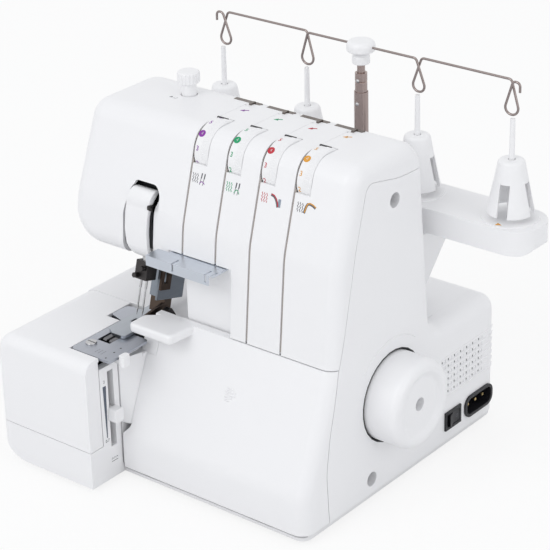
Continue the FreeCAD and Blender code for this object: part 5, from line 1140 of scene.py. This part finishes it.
rearLook = {
    "face": 238.6, "screws": [(-34.0, 84.0), (-34.0, 20.0), (-240.0, 20.0), (-240.0, 84.0)],
    "seat": [(0.0, 0.06), (4.3, 0.06), (4.5, 0.0), (4.6, -0.4)],
    "head": [(0.0, 1.0), (1.6, 0.95), (2.7, 0.65), (3.1, 0.2), (3.2, -0.2)],
    "cross": 1.7, "crossWide": 0.7, "crossLift": 1.03, "crossTurn": 20.0, "crossStep": 35.0,
    "plate": [(-172.0, 34.0), (-104.0, 66.0)], "plateThick": 0.5, "plateRound": 3.0, "plateSoft": 0.15,
    "cornerDeep": 0.1, "rimFrom": 0.2,
}


# Cross-headed screws and a bare rating plate on the plain back. The dark ring round each head and the black
# cross on it are painted shade for the screw's recess and its cross slot.
def rearFittings():
    look = rearLook
    for number, (across, height) in enumerate(look["screws"]):
        place = spot(across, look["face"], height)
        for part, finish in (("seat", "dial_felt"), ("head", "dark_steel")):
            work = bmesh.new()
            turned(work, look[part], place, toRear)
            newPiece(f"rear_screw_{part}_{number + 1}", work, finish)
        work = bmesh.new()
        for end in ((look["cross"], 0.0), (0.0, look["cross"])):
            stroke(work, [(-end[0], -end[1]), end], look["crossWide"])
        angle = look["crossTurn"] + look["crossStep"] * number
        upright = Matrix.Rotation(math.radians(90.0), 4, "X")
        turn = upright @ Matrix.Rotation(math.radians(angle), 4, "Z")
        bmesh.ops.transform(work, matrix=Matrix.Scale(mm, 4) @ turn, verts=work.verts)
        bmesh.ops.translate(work, verts=work.verts, vec=place + toRear * look["crossLift"] * mm)
        newPiece(f"rear_screw_cross_{number + 1}", work, "ink_black")
    rearPlate()


def rearPlate():
    look = rearLook
    (left, low), (right, high) = look["plate"]
    work = bmesh.new()
    made = bmesh.ops.create_cube(work, size=mm)["verts"]
    bmesh.ops.scale(work, verts=made, vec=(right - left, look["plateThick"], high - low))
    least = look["cornerDeep"] * mm
    corners = [line for line in work.edges if abs(line.verts[0].co.y - line.verts[1].co.y) > least]
    soften(work, corners, look["plateRound"], 5)
    rim = [line for line in work.edges if min(end.co.y for end in line.verts) > look["rimFrom"] * mm]
    soften(work, rim, look["plateSoft"], 1)
    middle = spot((left + right) / 2, look["face"], (low + high) / 2)
    bmesh.ops.translate(work, verts=work.verts, vec=middle)
    newPiece("rear_plate", work, "rating_sheet")


shadeLook = {"low": (-199.0, 56.0, 196.0), "high": (-172.6, 56.8, 219.0)}


# A black sheet of painted shade inside the head, behind the shield.
def headShade():
    work = bmesh.new()
    box(work, shadeLook["low"], shadeLook["high"])
    newPiece("head_shade", work, "ink_black")


trayLook = {"place": (48.0, 162.4, 197.5), "arrow": [(-1.8, -2.2), (2.6, 0.2), (-1.8, 2.4)]}


def trayMark():
    work = bmesh.new()
    patch(work, trayLook["arrow"])
    press(work, "spool_stand", trayLook["place"], toRight, toRear)
    newPiece("tray_mark", work, "ink_orange")


def addMarks():
    for number in dials:
        dialMarks(number)
        dialRibs(number)
    for make in (
        pathSigns, topSigns, feedScale, doorGrip, ventLines, wheelArc, wheelGasket, mastButtons, plateMarks,
        switchSigns, dialStrips, slotLinings, seamTongue, cheekTongue, ventLouvres, rearFittings, headShade,
        trayMark,
    ):
        make()
    print("marks laid")


worldLook = {
    "ambient": (0.97, 0.98, 1.0, 1.0), "strength": 0.84, "rays": ("Camera", "Glossy", "Transmission"),
}


# Plain ambient light, with white where the camera, gloss or glass sees the world itself.
def setWorld():
    look = worldLook
    world = bpy.data.worlds.new("studio")
    bpy.context.scene.world = world
    finish = Finish(world)
    finish.tree.nodes.clear()
    camera, gloss, glass = [finish.node("LightPath", {}, {}, f"Is {ray} Ray") for ray in look["rays"]]
    ambient = finish.node("Background", {}, {"Color": look["ambient"], "Strength": look["strength"]})
    white = finish.node("Background", {}, {"Color": grey(1.0), "Strength": 1.0})
    mixed = finish.node("MixShader", {}, {0: camera + gloss + glass, 1: ambient, 2: white})
    finish.node("OutputWorld", {}, {"Surface": mixed})


floorLook = {"half": 6.0, "squares": 8, "drift": 3.0, "tones": (0.86, 0.9), "rough": 0.5, "glow": 0.82}


# A pale sweep of floor: white to the camera, darker only where the machine shades it.
def setFloor():
    look = floorLook
    work = bmesh.new()
    squares = look["squares"]
    bmesh.ops.create_grid(work, x_segments=squares, y_segments=squares, size=look["half"])
    floor = placed("floor", work)
    finish = Finish(bpy.data.materials.new("floor_paper"))
    finish.tree.nodes.clear()
    seen = finish.node("LightPath", {}, {}, "Is Camera Ray")
    low, high = look["tones"]
    colour = finish.tint(finish.noise(look["drift"], 3.0), grey(low), grey(high))
    paper = finish.node("BsdfDiffuse", {}, {"Color": colour, "Roughness": look["rough"]})
    glow = finish.node("Emission", {}, {"Color": grey(1.0), "Strength": 1.0})
    surface = finish.node("MixShader", {}, {0: seen * look["glow"], 1: paper, 2: glow})
    finish.node("OutputMaterial", {}, {"Surface": surface})
    floor.data.materials.append(finish.owner)


lampLook = {
    "key": {"place": (-0.5, -2.6, 2.2), "aim": (0.0, 0.0, 0.1), "size": 2.0, "power": 22.0},
    "fill": {"place": (2.4, -0.4, 1.2), "aim": (0.0, 0.0, 0.12), "size": 1.6, "power": 6.0},
}


def setLamps():
    for name, look in lampLook.items():
        data = bpy.data.lights.new(name, "AREA")
        data.shape = "DISK"
        data.size = look["size"]
        data.energy = look["power"]
        made = bpy.data.objects.new(name, data)
        made.location = look["place"]
        facing = Vector(look["aim"]) - Vector(look["place"])
        made.rotation_euler = facing.to_track_quat("-Z", "Y").to_euler()
        bpy.context.scene.collection.objects.link(made)


viewLook = {
    "azimuth": 39.218, "height": 25.555, "roll": -1.471, "lens": 140.30, "sensor": 36.0,
    "place": (0.8795, -1.0901, 0.8159), "clip": (0.05, 60.0),
}


def setCamera():
    look = viewLook
    azimuth, height, roll = (math.radians(look[name]) for name in ("azimuth", "height", "roll"))
    level = math.cos(height)
    behind = Vector((math.sin(azimuth) * level, -math.cos(azimuth) * level, math.sin(height)))
    across = Vector((math.cos(azimuth), math.sin(azimuth), 0.0))
    above = behind.cross(across)
    axisX = across * math.cos(roll) + above * math.sin(roll)
    axisY = above * math.cos(roll) - across * math.sin(roll)
    data = bpy.data.cameras.new("photo_view")
    data.lens = look["lens"]
    data.sensor_width = look["sensor"]
    data.clip_start, data.clip_end = look["clip"]
    made = bpy.data.objects.new("photo_view", data)
    turn = Matrix((axisX, axisY, behind)).transposed()
    made.matrix_world = Matrix.Translation(look["place"]) @ turn.to_4x4()
    bpy.context.scene.collection.objects.link(made)
    bpy.context.scene.camera = made
    print("light and camera set")


makeFinishes()
dressAll()
addMarks()
setWorld()
setFloor()
setLamps()
setCamera()
bpy.context.scene.view_settings.view_transform = "Standard"
print("scene ready")
